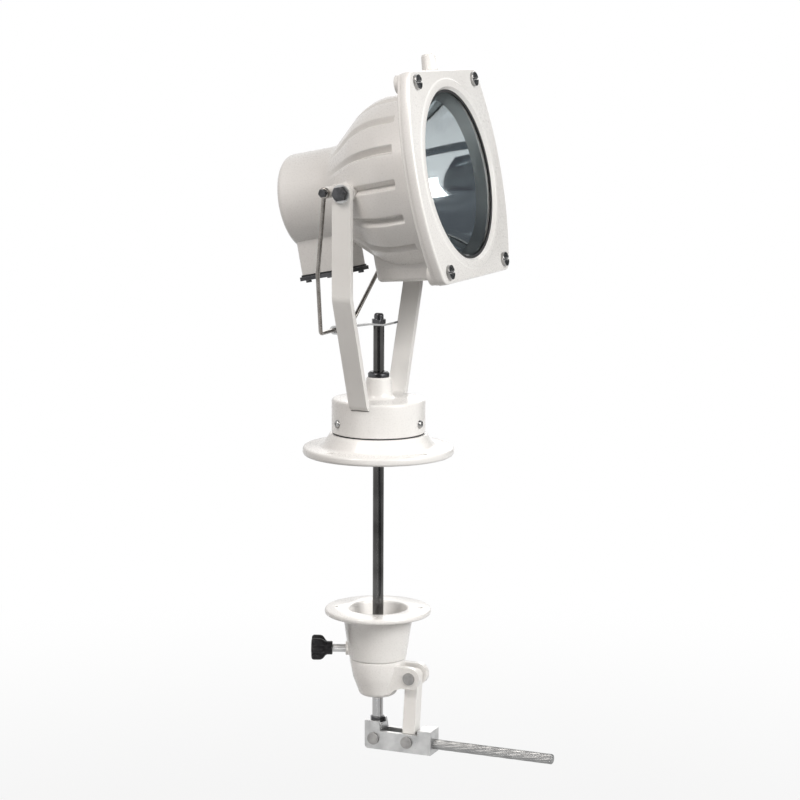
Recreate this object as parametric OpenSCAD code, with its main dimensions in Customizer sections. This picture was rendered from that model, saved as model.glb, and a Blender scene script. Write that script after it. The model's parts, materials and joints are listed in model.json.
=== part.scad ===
// Marine searchlight with inside pan and tilt control.
// The origin is the centre of the roof flange's lower face. +Z runs up the control rod, +X is the beam's
// heading and the tilt axis lies along Y. Lamp pieces are drawn in the lamp's own frame, with X along the
// beam and Z up, and lamp_pose() tilts them to their place. Sizes are millimetres.

/* [Roof mount] */
// Diameter of the roof flange
roof_flange_d = 220; // [206:1:240]
// Thickness of the roof flange
roof_flange_t = 12; // [9:1:14]
// Pitch circle of the roof bolts
roof_bolt_pcd = 190; // [186:1:196]
// Diameter of the roof bolt holes
roof_bolt_d = 11; // [8:0.5:13]
// Depth from the roof flange down to the ceiling flange
deck_depth = 229; // [150:1:260]
// Diameter of the ceiling flange
ceiling_d = 156; // [146:1:170]
// Pitch circle of the ceiling screws
ceiling_pcd = 124; // [118:1:132]
// Diameter of the ceiling screw holes
ceiling_screw_d = 7; // [5:0.5:9]

/* [Turntable and yoke] */
// Diameter of the turntable
turntable_d = 136; // [132:1:146]
// Height of the turntable's top
turntable_top = 82; // [80:1:86]
// Height of the tilt axis
tilt_z = 385; // [375:1:400]
// Width of each yoke arm
arm_w = 28; // [24:1:30]
// Thickness of each yoke arm
arm_t = 10; // [8:0.5:11]
// Clear distance between the yoke arms
arm_gap = 244; // [243:1:252]

/* [Lamp] */
// Upward slope of the beam at rest
beam_tilt = 11; // [0:1:20]
// Distance from the tilt axis to the front of the lamp
front_x = 128; // [126:1:132]
// Half the width of the front frame, where its sides bulge most
frame_half_w = 159; // [156:1:162]
// Half the distance between the front screws across the lamp
screw_y = 106; // [104:0.5:108]
// Half the distance between the front screws up the lamp
screw_z = 131.5; // [130:0.5:134]
// Radius of the lens opening
lens_r = 123; // [121:1:124]
// Largest outer radius of the bell
bell_r = 127; // [126:1:129]
// Number of cooling flutes round the bell
flute_count = 16; // [8:4:16]
// Radius of the rear drum
drum_r = 70; // [68:1:72]

/* [Control] */
// Diameter of the control rod
rod_d = 16; // [14:0.5:17]
// Height of the control rod's shoulder under the tilt strip
rod_top = 188; // [184:1:192]
// Distance from the tilt axis back to the bail's eyes
bail_arm = 28; // [27:0.5:30]
// Diameter of the bail's wire
bail_d = 6; // [5:0.5:6]
// Depth of the lever's pins under the roof
lever_z = -423.5; // [-430:0.5:-420]
// Distance from the rod to the lever's fulcrum pin
fulcrum_x = 53; // [50:1:58]
// Length of the handle outside the lever
handle_len = 184; // [120:1:220]
// Diameter of the handle
handle_d = 15; // [12:0.5:18]
// Diameter of the lock knob
knob_d = 38; // [32:1:44]

/* [Hidden] */
$fn = 64;
eps = 0.01;
running = 0.05;
hole_gap = 0.1;
body_gap = 0.3;

rod_r = rod_d / 2;
bush_r = rod_r + 3;
flange_r = roof_flange_d / 2;
roof_bolt_angle = 66;
hub_top = 31;
hub_base_r = 80;
hub_top_r = 70;
washer_t = 2;
spigot_r = 55;
spigot_top = 59.5;
groove_r = 50;
groove_z = 49;
groove_h = 8;

turntable_r = turntable_d / 2;
turntable_base = hub_top + washer_t;
cup_top = spigot_top + 0.5;
neck_r = 18;
neck_top = 113;
packing_z = 104;
retainer_angles = [-6, 114, 234];
retainer_r = 3.5;
key_z = 76;
key_h = 14;
key_w = 5;
keyway_x = 5;
rod_travel = 15;

arm_y = (arm_gap + arm_t) / 2;
arm_bend_z = 238;
foot_y = 68;
foot_end_y = 36;
foot_z = turntable_top - arm_t / 2;
arm_bolt_y = 46;
arm_bolt_x = 8;
arm_bolt_r = 3;
arm_bolt_seat = cup_top + 5;
arm_bolt_top = turntable_top - 3;

frame_t = 13;
corner_r = 16;
corner_y = screw_y + 7;
frame_back = front_x - frame_t;
flange_inset = 1.2;
flange_back = frame_back - 6;
lug_back = frame_back - 12;
front_screw_r = 4;
gasket_r = 132.8;
glass_r = 130;
bell_slope = 39;
shoulder_r = 100;
shoulder_x = 23;
shoulder_run = shoulder_r * tan(bell_slope / 2);
bell_rear = shoulder_x - (bell_r - drum_r) / tan(bell_slope);
drum_back = -131.5;
drum_wall = 9;
flute_front = 79.5;
flute_w = 10;
flute_depth = 8;
flute_fade = 70;
lower_box_rear = -3.6;
lower_box_y = 57;
lower_box_z = -130.7;
lower_box_fall = tan(6.6);
trunnion_r = 14;
trunnion_y = arm_gap / 2 - 2.5;
tilt_bolt_r = 6;
tilt_bolt_y = 104;
reflector_r = 118;
reflector_depth = 105;
parabola = reflector_r * reflector_r / reflector_depth;
reflector_base = frame_back - reflector_depth;
box_back = -125;
box_front = -60;
box_x = (box_back + box_front) / 2;
box_y = 43;
box_bottom = -104;
box_wall = 6;
gland_z = -82;
gland_r = 8;
gasket_t = 2.5;
cover_t = 5.5;
cover_bolt_inset = 7;
cover_bolt_r = 2.5;
cover_bolts = [
  for (x = [box_back + cover_bolt_inset, box_front - cover_bolt_inset], s = [-1, 1])
    [x, s * (box_y - cover_bolt_inset)]
];
vent_x = 108.5;
vent_seat = 149;
vent_stem_r = 4;

bail_local = [-bail_arm * cos(beam_tilt), bail_arm * sin(beam_tilt)];
bail_screw_r = 3;
bail_screw_y = 108.7;
bail_boss_y = 122.7;
bail_y = bail_boss_y + 0.8 + bail_d / 2;
bail_kink = [-43, 116, 270];
bail_corner = [-68, 52, 178];
eye_r = 8;
strip_t = 3;
strip_w = 14;
slot_r = bail_d / 2 + 0.5;
slot_travel = 4.5;

ceiling_top = -deck_depth;
ceiling_r = ceiling_d / 2;
ceiling_base = -303.5;
ceiling_bore_top = -276;
ceiling_screw_angle = 21;
hub_spigot_r = 24;
hub_bottom = -360;
ear_pin = [58, -326];
ear_in = 10.5;
ear_out = 20;
ear_r = 16;
pin_r = 5;
pin_head_r = 9;
cheek_in = 10.3;
cheek_out = 16;
link_half = 10;
link_slot = 2.5;
lock_z = -291;
lock_angle = 201;
lock_r = 6;
pad_r0 = 24.4;
pad_r1 = 28;
knob_r0 = 76;
knob_r1 = 98;
lever_end = 91;
handle_z = lever_z - 2;
rod_foot = lever_z + 13.5;
rod_nut_z = lever_z + 22.5;
strip_bore_r = 5;
handle_root_r = 6;

white = "#f2efe9";
steel = "#8d8f90";
dark = "#3a3a3c";
bronze = "#a9803f";
black = "#1d1d1f";

// Functions for outlines

function unit(v) = v / norm(v);

// Points on a round arc from angle a0 to a1
function arc(c, r, a0, a1, n) = [for (i = [0:n]) let (a = a0 + (a1 - a0) * i / n) c + r * [cos(a), sin(a)]];

// A corner b between a and c, rounded to radius r
function rounded(a, b, c, r, n = 6) =
  let (
    u = unit(a - b),
    w = unit(c - b),
    half = acos(u * w) / 2,
    centre = b + unit(u + w) * r / sin(half),
    start = b + u * r / tan(half) - centre,
    a0 = atan2(start.y, start.x),
    turn = cross(b - a, c - b) > 0 ? 180 - 2 * half : 2 * half - 180
  )
  arc(centre, r, a0, a0 + turn, n);

// The left-hand normal at each point of a path, lengthened at the corners to keep the width
function segment_normal(p, i) = let (d = unit(p[i + 1] - p[i])) [-d.y, d.x];

function path_normal(p, i) =
  i == 0 ? segment_normal(p, 0)
  : i == len(p) - 1 ? segment_normal(p, i - 1)
  : let (a = segment_normal(p, i - 1), b = segment_normal(p, i), m = unit(a + b)) m / (m * a);

// A flat strip of thickness t laid along a path
function strip_outline(p, t) = concat(
  [for (i = [0:len(p) - 1]) p[i] + path_normal(p, i) * t / 2],
  [for (i = [len(p) - 1:-1:0]) p[i] - path_normal(p, i) * t / 2]
);

// A frame with four round corners, flat top and bottom, and bulging sides, moved inwards by inset
function barrel_outline(inset) =
  let (
    r = corner_r - inset,
    reach = frame_half_w - corner_r,
    c = (reach * reach - corner_y * corner_y - screw_z * screw_z) / (2 * (reach - corner_y)),
    side_r = frame_half_w - inset - c,
    a = atan2(screw_z, corner_y - c)
  )
  concat(
    arc([corner_y, screw_z], r, a, 90, 10),
    arc([-corner_y, screw_z], r, 90, 180 - a, 10),
    arc([-c, 0], side_r, 180 - a, 180 + a, 10),
    arc([-corner_y, -screw_z], r, 180 + a, 270, 10),
    arc([corner_y, -screw_z], r, 270, 360 - a, 10),
    arc([c, 0], side_r, -a, a, 10)
  );

// Outer radius of the bell at station x: a straight mouth, a round shoulder and a cone down to the drum
function bell_radius(x) =
  x > shoulder_x + shoulder_run ? bell_r
  : x > shoulder_x - shoulder_run * cos(bell_slope)
    ? bell_r - shoulder_r + sqrt(shoulder_r * shoulder_r - pow(shoulder_x + shoulder_run - x, 2))
    : bell_r - (shoulder_x - x) * tan(bell_slope);

// Helpers for placing

module lamp_pose() {
  translate([0, 0, tilt_z]) rotate([0, -beam_tilt, 0]) children();
}

module along_x() {
  rotate([0, 90, 0]) children();
}

module along_y(side = 1) {
  rotate([-90 * side, 0, 0]) children();
}

// Stands a flat outline in the XZ plane, with its thickness centred on y
module upright(y, t) {
  translate([0, y, 0]) rotate([90, 0, 0]) linear_extrude(t, center = true) children();
}

module ring(r_out, r_in, h) {
  difference() {
    cylinder(r = r_out, h = h);
    translate([0, 0, -eps]) cylinder(r = r_in, h = h + 2 * eps);
  }
}

module hex_head(across, h) {
  cylinder(r = across / sqrt(3), h = h, $fn = 6);
}

// The lock's frame, with z out along its screw
module lock_pose() {
  translate([0, 0, lock_z]) rotate([0, 0, lock_angle]) along_x() children();
}

module rod_between(a, b, r) {
  v = b - a;
  translate(a) rotate([0, acos(v.z / norm(v)), atan2(v.y, v.x)]) cylinder(r = r, h = norm(v));
}

// Roof mount

module roof_flange() {
  edge = 4;
  foot_blend = 7;
  bush_depth = 25;
  profile = concat(
    [[bush_r, 0]],
    arc([flange_r - edge, edge], edge, -90, 0, 4),
    arc([flange_r - edge, roof_flange_t - edge], edge, 0, 90, 4),
    arc([hub_base_r + foot_blend - 1, roof_flange_t + foot_blend], foot_blend, 270, 200, 5),
    [
      [hub_top_r + 1, hub_top - 1], [hub_top_r, hub_top], [spigot_r, hub_top],
      [spigot_r, groove_z - groove_h / 2], [groove_r, groove_z - groove_h / 2],
      [groove_r, groove_z + groove_h / 2], [spigot_r, groove_z + groove_h / 2],
      [spigot_r, spigot_top - 1], [spigot_r - 1, spigot_top],
      [rod_r + 1, spigot_top], [rod_r + 1, bush_depth], [bush_r, bush_depth]
    ]
  );
  color(white) difference() {
    rotate_extrude() polygon(profile);
    for (i = [0:3])
      rotate([0, 0, roof_bolt_angle + 90 * i]) translate([roof_bolt_pcd / 2, 0, -1])
        cylinder(d = roof_bolt_d, h = roof_flange_t + 2);
  }
}

module thrust_washer() {
  color(dark) translate([0, 0, hub_top]) ring(turntable_r - 1.5, spigot_r + 1, washer_t);
}

module lower_guide_bush() {
  color(bronze) translate([0, 0, 0.5]) ring(bush_r, rod_r + running, 24);
}

module ceiling_flange() {
  lip = 8;
  edge = 3;
  mouth_r = 42;
  under_r = 51;
  blend = 6;
  floor_r = 33;
  floor_edge = 2;
  profile = concat(
    [[hub_spigot_r, ceiling_bore_top], [hub_spigot_r, ceiling_base]],
    arc([mouth_r - 1.5, ceiling_base + 1.5], 1.5, -90, 0, 3),
    arc([under_r + blend, ceiling_top - lip - blend], blend, 172, 90, 5),
    arc([ceiling_r - edge, ceiling_top - lip + edge], edge, -90, 0, 3),
    arc([ceiling_r - edge, ceiling_top - edge], edge, 0, 90, 3),
    arc([mouth_r + edge, ceiling_top - edge], edge, 90, 180, 3),
    arc([floor_r - floor_edge, ceiling_bore_top + floor_edge], floor_edge, 0, -90, 4)
  );
  color(white) difference() {
    rotate_extrude() polygon(profile);
    for (i = [0:3])
      rotate([0, 0, ceiling_screw_angle + 90 * i]) translate([ceiling_pcd / 2, 0, ceiling_top - lip - 1])
        cylinder(d = ceiling_screw_d, h = lip + 2);
    lock_pose() cylinder(r = lock_r + running, h = ceiling_r);
  }
  // Round boss that carries the lock screw's thread
  boss_r = lock_r + 4;
  boss_start = 38;
  boss_h = 9;
  color(white) difference() {
    lock_pose() translate([0, 0, boss_start]) cylinder(r = boss_r, h = boss_h);
    lock_pose() cylinder(r = lock_r + running, h = ceiling_r);
    translate([0, 0, ceiling_base - 1]) cylinder(r = boss_start - 4, h = ceiling_bore_top - ceiling_base + 1);
  }
}

// Turntable

module turntable() {
  edge = 4;
  neck_blend = 8;
  profile = concat(
    [[spigot_r + running, cup_top], [spigot_r + running, turntable_base], [turntable_r - 1, turntable_base]],
    [[turntable_r, turntable_base + 1]],
    arc([turntable_r - edge, turntable_top - edge], edge, 0, 90, 4),
    arc([neck_r + 2 + neck_blend, turntable_top + neck_blend], neck_blend, 270, 186, 5),
    [[neck_r, neck_top - 2], [neck_r - 2, neck_top], [bush_r, neck_top], [bush_r, cup_top]]
  );
  color(white) difference() {
    rotate_extrude() polygon(profile);
    for (a = retainer_angles)
      rotate([0, 0, a]) translate([spigot_r - 2, 0, groove_z]) along_x()
        cylinder(r = retainer_r + hole_gap, h = turntable_r);
    for (s = [-1, 1]) {
      translate([-arm_w / 2 - hole_gap, s > 0 ? foot_end_y - 1 : -turntable_r - 9, turntable_top - arm_t])
        cube([arm_w + 2 * hole_gap, turntable_r + 10 - foot_end_y, arm_t + 1]);
      for (x = [-arm_bolt_x, arm_bolt_x]) translate([x, s * arm_bolt_y, cup_top - 1]) {
        cylinder(r = arm_bolt_r + hole_gap, h = turntable_top - cup_top);
        cylinder(r = 2 * arm_bolt_r + 0.4, h = arm_bolt_seat - cup_top + 1);
      }
    }
  }
}

// One arm, on the side given by s: an upright bar with a round head, a bend, and a foot turned inwards
module yoke_arm(s) {
  head = [arm_y, tilt_z + arm_w / 2];
  bend = [arm_y, arm_bend_z];
  foot = [foot_y, foot_z];
  tip = [foot_end_y, foot_z];
  path = concat([head], rounded(head, bend, foot, 25), rounded(bend, foot, tip, 9), [tip]);
  color(white) mirror([0, s < 0 ? 1 : 0, 0]) difference() {
    rotate([90, 0, 90]) linear_extrude(arm_w, center = true) polygon(strip_outline(path, arm_t));
    difference() {
      translate([-arm_w, arm_gap / 2 - 1, tilt_z]) cube([2 * arm_w, arm_t + 2, arm_w]);
      translate([0, arm_gap / 2 - 2, tilt_z]) along_y() cylinder(r = arm_w / 2, h = arm_t + 4);
    }
    translate([0, arm_gap / 2 - 1, tilt_z]) along_y() cylinder(r = tilt_bolt_r + 2, h = arm_t + 2);
    for (x = [-arm_bolt_x, arm_bolt_x])
      translate([x, arm_bolt_y, arm_bolt_seat])
        cylinder(r = arm_bolt_r + hole_gap, h = arm_bolt_top - arm_bolt_seat);
  }
}

module left_yoke_arm() {
  yoke_arm(1);
}

module right_yoke_arm() {
  yoke_arm(-1);
}

// Bolts that come up from inside the turntable's cup into the feet of the arms
module arm_bolts() {
  head_h = 4;
  color(steel)
    for (s = [-1, 1], x = [-arm_bolt_x, arm_bolt_x]) translate([x, s * arm_bolt_y, arm_bolt_seat]) {
      translate([0, 0, -head_h]) hex_head(10, head_h);
      translate([0, 0, -eps]) cylinder(r = arm_bolt_r, h = arm_bolt_top - arm_bolt_seat - 0.5);
    }
}

module tilt_bushes() {
  color(bronze)
    for (s = [-1, 1])
      translate([0, s * arm_gap / 2, tilt_z]) along_y(s) ring(tilt_bolt_r + 2, tilt_bolt_r + running, arm_t);
}

module retaining_screws() {
  head_r = 6.2;
  head_h = 4;
  shank = turntable_r - groove_r - 1;
  color(dark)
    for (a = retainer_angles) rotate([0, 0, a]) translate([groove_r + 1, 0, groove_z]) along_x() {
      cylinder(r = retainer_r, h = shank + eps);
      translate([0, 0, shank]) cylinder(r1 = head_r, r2 = head_r - 1.6, h = head_h);
    }
}

module gland_nut() {
  nut_r = 15.5;
  color(dark) rotate_extrude() polygon([
    [rod_r + 0.4, neck_top - 3], [bush_r - hole_gap, neck_top - 3], [bush_r - hole_gap, neck_top],
    [nut_r, neck_top], [nut_r, neck_top + 5], [nut_r - 2.5, neck_top + 8], [rod_r + 0.4, neck_top + 8]
  ]);
}

module gland_packing() {
  color(black) translate([0, 0, packing_z]) ring(bush_r - hole_gap, rod_r + 0.15, neck_top - 3 - packing_z);
}

module upper_guide_bush() {
  base = cup_top + 4;
  color(bronze) difference() {
    translate([0, 0, base]) ring(bush_r, rod_r + running, packing_z - base);
    translate([0, -key_w / 2, key_z]) cube([bush_r + 1, key_w, key_h]);
  }
}

module drive_key() {
  color(steel) intersection() {
    translate([keyway_x + 0.2, -key_w / 2, key_z]) cube([bush_r, key_w, key_h]);
    cylinder(r = bush_r, h = tilt_z);
  }
}

// Lamp

module front_screw_places() {
  for (y = [-screw_y, screw_y], z = [-screw_z, screw_z]) translate([0, y, z]) children();
}

module barrel_plate(x0, x1, inset) {
  translate([x0, 0, 0]) rotate([90, 0, 90]) linear_extrude(x1 - x0) polygon(barrel_outline(inset));
}

// The space that one flute takes out of the bell, at the top of the lamp
module flute() {
  n = 8;
  above = bell_r + 20;
  floor = [
    for (i = [0:n])
      let (x = flute_front + (bell_rear - flute_front) * i / n)
      [x, bell_radius(x) - flute_depth * min(1, (x - bell_rear) / flute_fade)]
  ];
  upright(0, flute_w) polygon(concat(floor, [[bell_rear, above], [flute_front, above]]));
}

// The box under the bell, up to the station front and moved inwards by a wall: its floor falls forwards
module lower_box(front, wall) {
  top = -80;
  edge = 6;
  back = [lower_box_rear + wall, top];
  heel = [back.x, lower_box_z + wall];
  toe = [front, heel.y - (front - heel.x) * lower_box_fall];
  upright(0, 2 * (lower_box_y - wall))
    polygon(concat([back], rounded(back, heel, toe, edge), [toe, [front, top]]));
}

module housing_outside() {
  drum_edge = 10;
  fillet = 4;
  lug_r = corner_r - 2;
  trunnion_root = 88;
  bail_boss_root = 70;
  vent_boss_r = 6;
  box_h = 64;
  profile = concat(
    [[0, frame_back], [bell_r + fillet, frame_back], [bell_r + fillet, flange_back]],
    [[bell_r, flange_back - fillet]],
    rounded([bell_r, frame_back], [bell_r, shoulder_x], [drum_r, bell_rear], shoulder_r, 8),
    [[drum_r, bell_rear]],
    arc([drum_r - drum_edge, drum_back + drum_edge], drum_edge, 0, -90, 5),
    [[0, drum_back]]
  );
  difference() {
    along_x() rotate_extrude() polygon(profile);
    for (i = [0:flute_count - 1]) rotate([360 / flute_count * i, 0, 0]) flute();
  }
  barrel_plate(flange_back, frame_back, flange_inset);
  for (y = [-corner_y, corner_y], z = [-screw_z, screw_z])
    translate([lug_back, y, z]) along_x() cylinder(r = lug_r, h = flange_back - lug_back + 1);
  for (s = [-1, 1]) {
    translate([0, s * trunnion_root, 0]) along_y(s) cylinder(r = trunnion_r, h = trunnion_y - trunnion_root);
    translate([bail_local.x, s * bail_boss_root, bail_local.y]) along_y(s)
      cylinder(r = eye_r, h = bail_boss_y - bail_boss_root);
  }
  translate([box_back, -box_y, box_bottom]) cube([box_front - box_back, 2 * box_y, box_h]);
  lower_box(flange_back + 1, 0);
  translate([vent_x, 0, bell_r - 5]) cylinder(r = vent_boss_r, h = vent_seat - bell_r + 5);
}

module housing_inside() {
  mouth_r = 120;
  mouth_x = 88;
  bore_r = 115;
  drum_in = drum_r - drum_wall;
  cone_end = [drum_in, bell_rear + 3.4];
  step = [bore_r, mouth_x - (mouth_r - bore_r)];
  end = drum_back + 8;
  box_h = 60;
  profile = concat(
    [[0, frame_back + 1], [mouth_r, frame_back + 1], [mouth_r, mouth_x], step],
    rounded(step, [bore_r, shoulder_x + 1], cone_end, shoulder_r - 10, 8),
    [cone_end, [drum_in, end], [0, end]]
  );
  along_x() rotate_extrude() polygon(profile);
  translate([box_back + box_wall, -box_y + box_wall, box_bottom - 1])
    cube([box_front - box_back - 2 * box_wall, 2 * (box_y - box_wall), box_h]);
  lower_box(lug_back, box_wall);
}

module lamp_housing() {
  rim_r = reflector_r + 7.3;
  pillar_h = 30;
  color(white) lamp_pose() difference() {
    union() {
      difference() {
        housing_outside();
        housing_inside();
      }
      for (p = cover_bolts)
        translate([p.x, p.y, box_bottom]) cylinder(r = cover_bolt_inset - 1, h = pillar_h);
    }
    translate([frame_back - 2, 0, 0]) along_x() cylinder(r = rim_r, h = 4);
    front_screw_places() translate([lug_back - 1, 0, 0]) along_x()
      cylinder(r = front_screw_r + hole_gap, h = frame_back - lug_back + 2);
    for (s = [-1, 1]) {
      translate([0, s * (tilt_bolt_y - 0.5), 0]) along_y(s)
        cylinder(r = tilt_bolt_r + hole_gap, h = trunnion_y - tilt_bolt_y + 1);
      translate([bail_local.x, s * (bail_screw_y - 1), bail_local.y]) along_y(s)
        cylinder(r = bail_screw_r + hole_gap, h = bail_boss_y - bail_screw_y + 2);
    }
    for (p = cover_bolts) translate([p.x, p.y, box_bottom - 1]) cylinder(r = cover_bolt_r + hole_gap, h = 17);
    translate([vent_x, 0, vent_seat - 10.5]) cylinder(r = vent_stem_r + hole_gap, h = 11);
    translate([box_x, box_y - box_wall - 1, gland_z]) along_y()
      cylinder(r = gland_r + hole_gap, h = box_wall + 2);
  }
}

module front_frame() {
  seat = 9;
  bevel = 3;
  color(white) lamp_pose() difference() {
    barrel_plate(frame_back, front_x, 0);
    along_x() rotate_extrude() polygon([
      [0, frame_back - 1], [gasket_r + 0.2, frame_back - 1], [gasket_r + 0.2, frame_back + seat],
      [lens_r - bevel, frame_back + seat], [lens_r, front_x], [lens_r, front_x + 1], [0, front_x + 1]
    ]);
    front_screw_places() translate([frame_back - 1, 0, 0]) along_x()
      cylinder(r = front_screw_r + hole_gap, h = frame_t + 2);
  }
}

module front_screws() {
  head_r = 10.5;
  head_h = 5;
  shank = 24;
  color(dark) lamp_pose() front_screw_places() translate([front_x, 0, 0]) along_x() {
    difference() {
      cylinder(r = head_r, h = head_h);
      translate([-1, -head_r, head_h - 1.5]) cube([2, 2 * head_r, 2]);
    }
    translate([0, 0, -shank]) cylinder(r = front_screw_r, h = shank + eps);
  }
}

module lens_glass() {
  color("#cfdde2", 0.4) lamp_pose()
    translate([frame_back + 2.5, 0, 0]) along_x() cylinder(r = glass_r, h = 5);
}

module lens_gasket() {
  lip_r = 116;
  seat_r = reflector_r + 6;
  slot_r = glass_r + hole_gap;
  color(black) lamp_pose() along_x() rotate_extrude() polygon([
    [seat_r, frame_back], [gasket_r, frame_back], [gasket_r, frame_back + 9], [lip_r, frame_back + 9],
    [lip_r, frame_back + 7.5], [slot_r, frame_back + 7.5], [slot_r, frame_back + 2.5],
    [seat_r, frame_back + 2.5]
  ]);
}

module reflector() {
  neck = 15;
  n = 14;
  rim = 7;
  depth = 1.6;
  function station(r) = reflector_base + r * r / parabola;
  radii = [for (i = [0:n]) neck + (reflector_r - neck) * i / n];
  color("#b9c2c8") lamp_pose() along_x() rotate_extrude() polygon(concat(
    [for (r = radii) [r, station(r)]],
    [[reflector_r + rim, frame_back], [reflector_r + rim, frame_back - depth]],
    [for (i = [n:-1:0]) [radii[i], station(radii[i]) - depth]]
  ));
}

module lamp_bulb() {
  focus = reflector_base + parabola / 4;
  globe_r = 17;
  neck = 9;
  start = asin(neck / globe_r);
  color("#e9eef0", 0.6) lamp_pose() along_x() rotate_extrude() polygon(concat(
    [[0, reflector_base - 18], [neck, reflector_base - 18]],
    [for (p = arc([0, focus], globe_r, start - 90, 90, 12)) [max(0, p.x), p.y]]
  ));
}

module lamp_holder() {
  socket_r = 9 + hole_gap;
  color("#d8d4c8") lamp_pose() along_x() rotate_extrude() polygon([
    [0, reflector_base - 36], [12, reflector_base - 36], [14.8, reflector_base - 33],
    [14.8, reflector_base - 6], [22, reflector_base - 6], [22, reflector_base + 1.8],
    [14.8, reflector_base], [14.8, reflector_base + 5], [socket_r, reflector_base + 5],
    [socket_r, reflector_base - 18], [0, reflector_base - 18]
  ]);
}

module terminal_gasket() {
  color(black) lamp_pose() difference() {
    translate([box_back, -box_y, box_bottom - gasket_t]) cube([box_front - box_back, 2 * box_y, gasket_t]);
    translate([box_back + 13, -box_y + 13, box_bottom - gasket_t - 1])
      cube([box_front - box_back - 26, 2 * box_y - 26, gasket_t + 2]);
    for (p = cover_bolts)
      translate([p.x, p.y, box_bottom - 10]) cylinder(r = cover_bolt_r + hole_gap, h = 20);
  }
}

module terminal_cover() {
  proud = 2;
  top = box_bottom - gasket_t;
  color(dark) lamp_pose() difference() {
    translate([box_back - proud, -box_y - proud, top - cover_t])
      cube([box_front - box_back + 2 * proud, 2 * (box_y + proud), cover_t]);
    for (p = cover_bolts) translate([p.x, p.y, top - 10]) cylinder(r = cover_bolt_r + hole_gap, h = 20);
  }
}

module terminal_bolts() {
  under = box_bottom - gasket_t - cover_t;
  head_h = 3.5;
  color(steel) lamp_pose()
    for (p = cover_bolts) translate([p.x, p.y, under]) {
      translate([0, 0, -head_h]) hex_head(8, head_h);
      translate([0, 0, -eps]) cylinder(r = cover_bolt_r, h = 20);
    }
}

module terminal_block() {
  size = [36, 44, 15];
  pitch = 14;
  color("#c9c3b2") lamp_pose() translate([box_x, 0, box_bottom - gasket_t]) difference() {
    translate([-size.x / 2, -size.y / 2, 0]) cube(size);
    for (y = [-pitch, 0, pitch], x = [-9, 9]) translate([x, y, size.z - 5]) cylinder(r = 3, h = 6);
  }
}

module cable_gland() {
  bore = 5.5;
  color(dark) lamp_pose() translate([box_x, box_y, gland_z]) along_y() difference() {
    union() {
      translate([0, 0, -box_wall]) cylinder(r = 8, h = box_wall);
      hex_head(24, 7);
      rotate_extrude() polygon([[0, 7], [12, 7], [12, 16], [8, 22], [0, 22]]);
    }
    translate([0, 0, -box_wall - 1]) cylinder(r = bore, h = 40);
  }
}

// A vent with a stem in the housing and a tapered round cap
module vent_plug() {
  stem = 10;
  base_r = 12;
  rim = 3;
  top_r = 10;
  height = 24;
  edge = 4;
  color(white) lamp_pose() translate([vent_x, 0, vent_seat]) rotate_extrude() polygon(concat(
    [[0, -stem], [vent_stem_r, -stem], [vent_stem_r, 0], [base_r, 0], [base_r, rim]],
    arc([top_r - edge, height - edge], edge, 0, 90, 4),
    [[0, height]]
  ));
}

module tilt_bolts() {
  length = arm_gap / 2 + arm_t + 1.9 - tilt_bolt_y;
  color(steel) lamp_pose()
    for (s = [-1, 1]) translate([0, s * tilt_bolt_y, 0]) along_y(s) {
      cylinder(r = tilt_bolt_r, h = length + eps);
      translate([0, 0, length]) hex_head(19, 7.5);
    }
}

module tilt_washers() {
  inner_t = arm_gap / 2 - body_gap - trunnion_y;
  color(steel) lamp_pose()
    for (s = [-1, 1]) {
      translate([0, s * trunnion_y, 0]) along_y(s) ring(trunnion_r - 1, tilt_bolt_r + hole_gap, inner_t);
      translate([0, s * (arm_gap / 2 + arm_t + body_gap), 0]) along_y(s)
        ring(trunnion_r - 1, tilt_bolt_r + hole_gap, 1.6);
    }
}

module bail_screws() {
  length = bail_y + bail_d / 2 + body_gap - bail_screw_y;
  color(dark) lamp_pose()
    for (s = [-1, 1]) translate([bail_local.x, s * bail_screw_y, bail_local.y]) along_y(s) {
      cylinder(r = bail_screw_r, h = length + eps);
      translate([0, 0, length]) hex_head(11, 4.2);
    }
}

// Tilt bail

module tilt_bail() {
  // The wire swells a little where it is bent
  bend_d = bail_d + 0.3;
  color(steel) difference() {
    union() {
      for (s = [-1, 1]) {
        side = [1, s, 1];
        eye = [-bail_arm, bail_y * s, tilt_z];
        kink = [for (i = [0:2]) bail_kink[i] * side[i]];
        corner = [for (i = [0:2]) bail_corner[i] * side[i]];
        translate([0, -s * bail_d / 2, 0]) translate(eye) along_y(s) cylinder(r = eye_r, h = bail_d);
        rod_between(eye + 5 * unit(kink - eye), kink, bail_d / 2);
        translate(kink) sphere(d = bend_d);
        rod_between(kink, corner, bail_d / 2);
        translate(corner) sphere(d = bend_d);
      }
      translate([bail_corner.x, -bail_corner.y, bail_corner.z]) along_y()
        cylinder(d = bail_d, h = 2 * bail_corner.y);
    }
    for (s = [-1, 1])
      translate([-bail_arm, s * (bail_y - bail_d), tilt_z]) along_y(s)
        cylinder(r = bail_screw_r + running, h = 2 * bail_d);
  }
}

// Control rod

module control_rod() {
  tip_top = rod_top + 14;
  color(steel) difference() {
    rotate_extrude() polygon([
      [0, rod_foot], [rod_r - 1, rod_foot], [rod_r, rod_foot + 1], [rod_r, rod_top - 1], [rod_r - 1, rod_top],
      [strip_bore_r, rod_top], [strip_bore_r, tip_top - 1], [strip_bore_r - 1, tip_top], [0, tip_top]
    ]);
    translate([keyway_x, -key_w / 2 - hole_gap, key_z - rod_travel])
      cube([rod_r, key_w + 2 * hole_gap, key_h + 2 * rod_travel]);
  }
}

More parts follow.
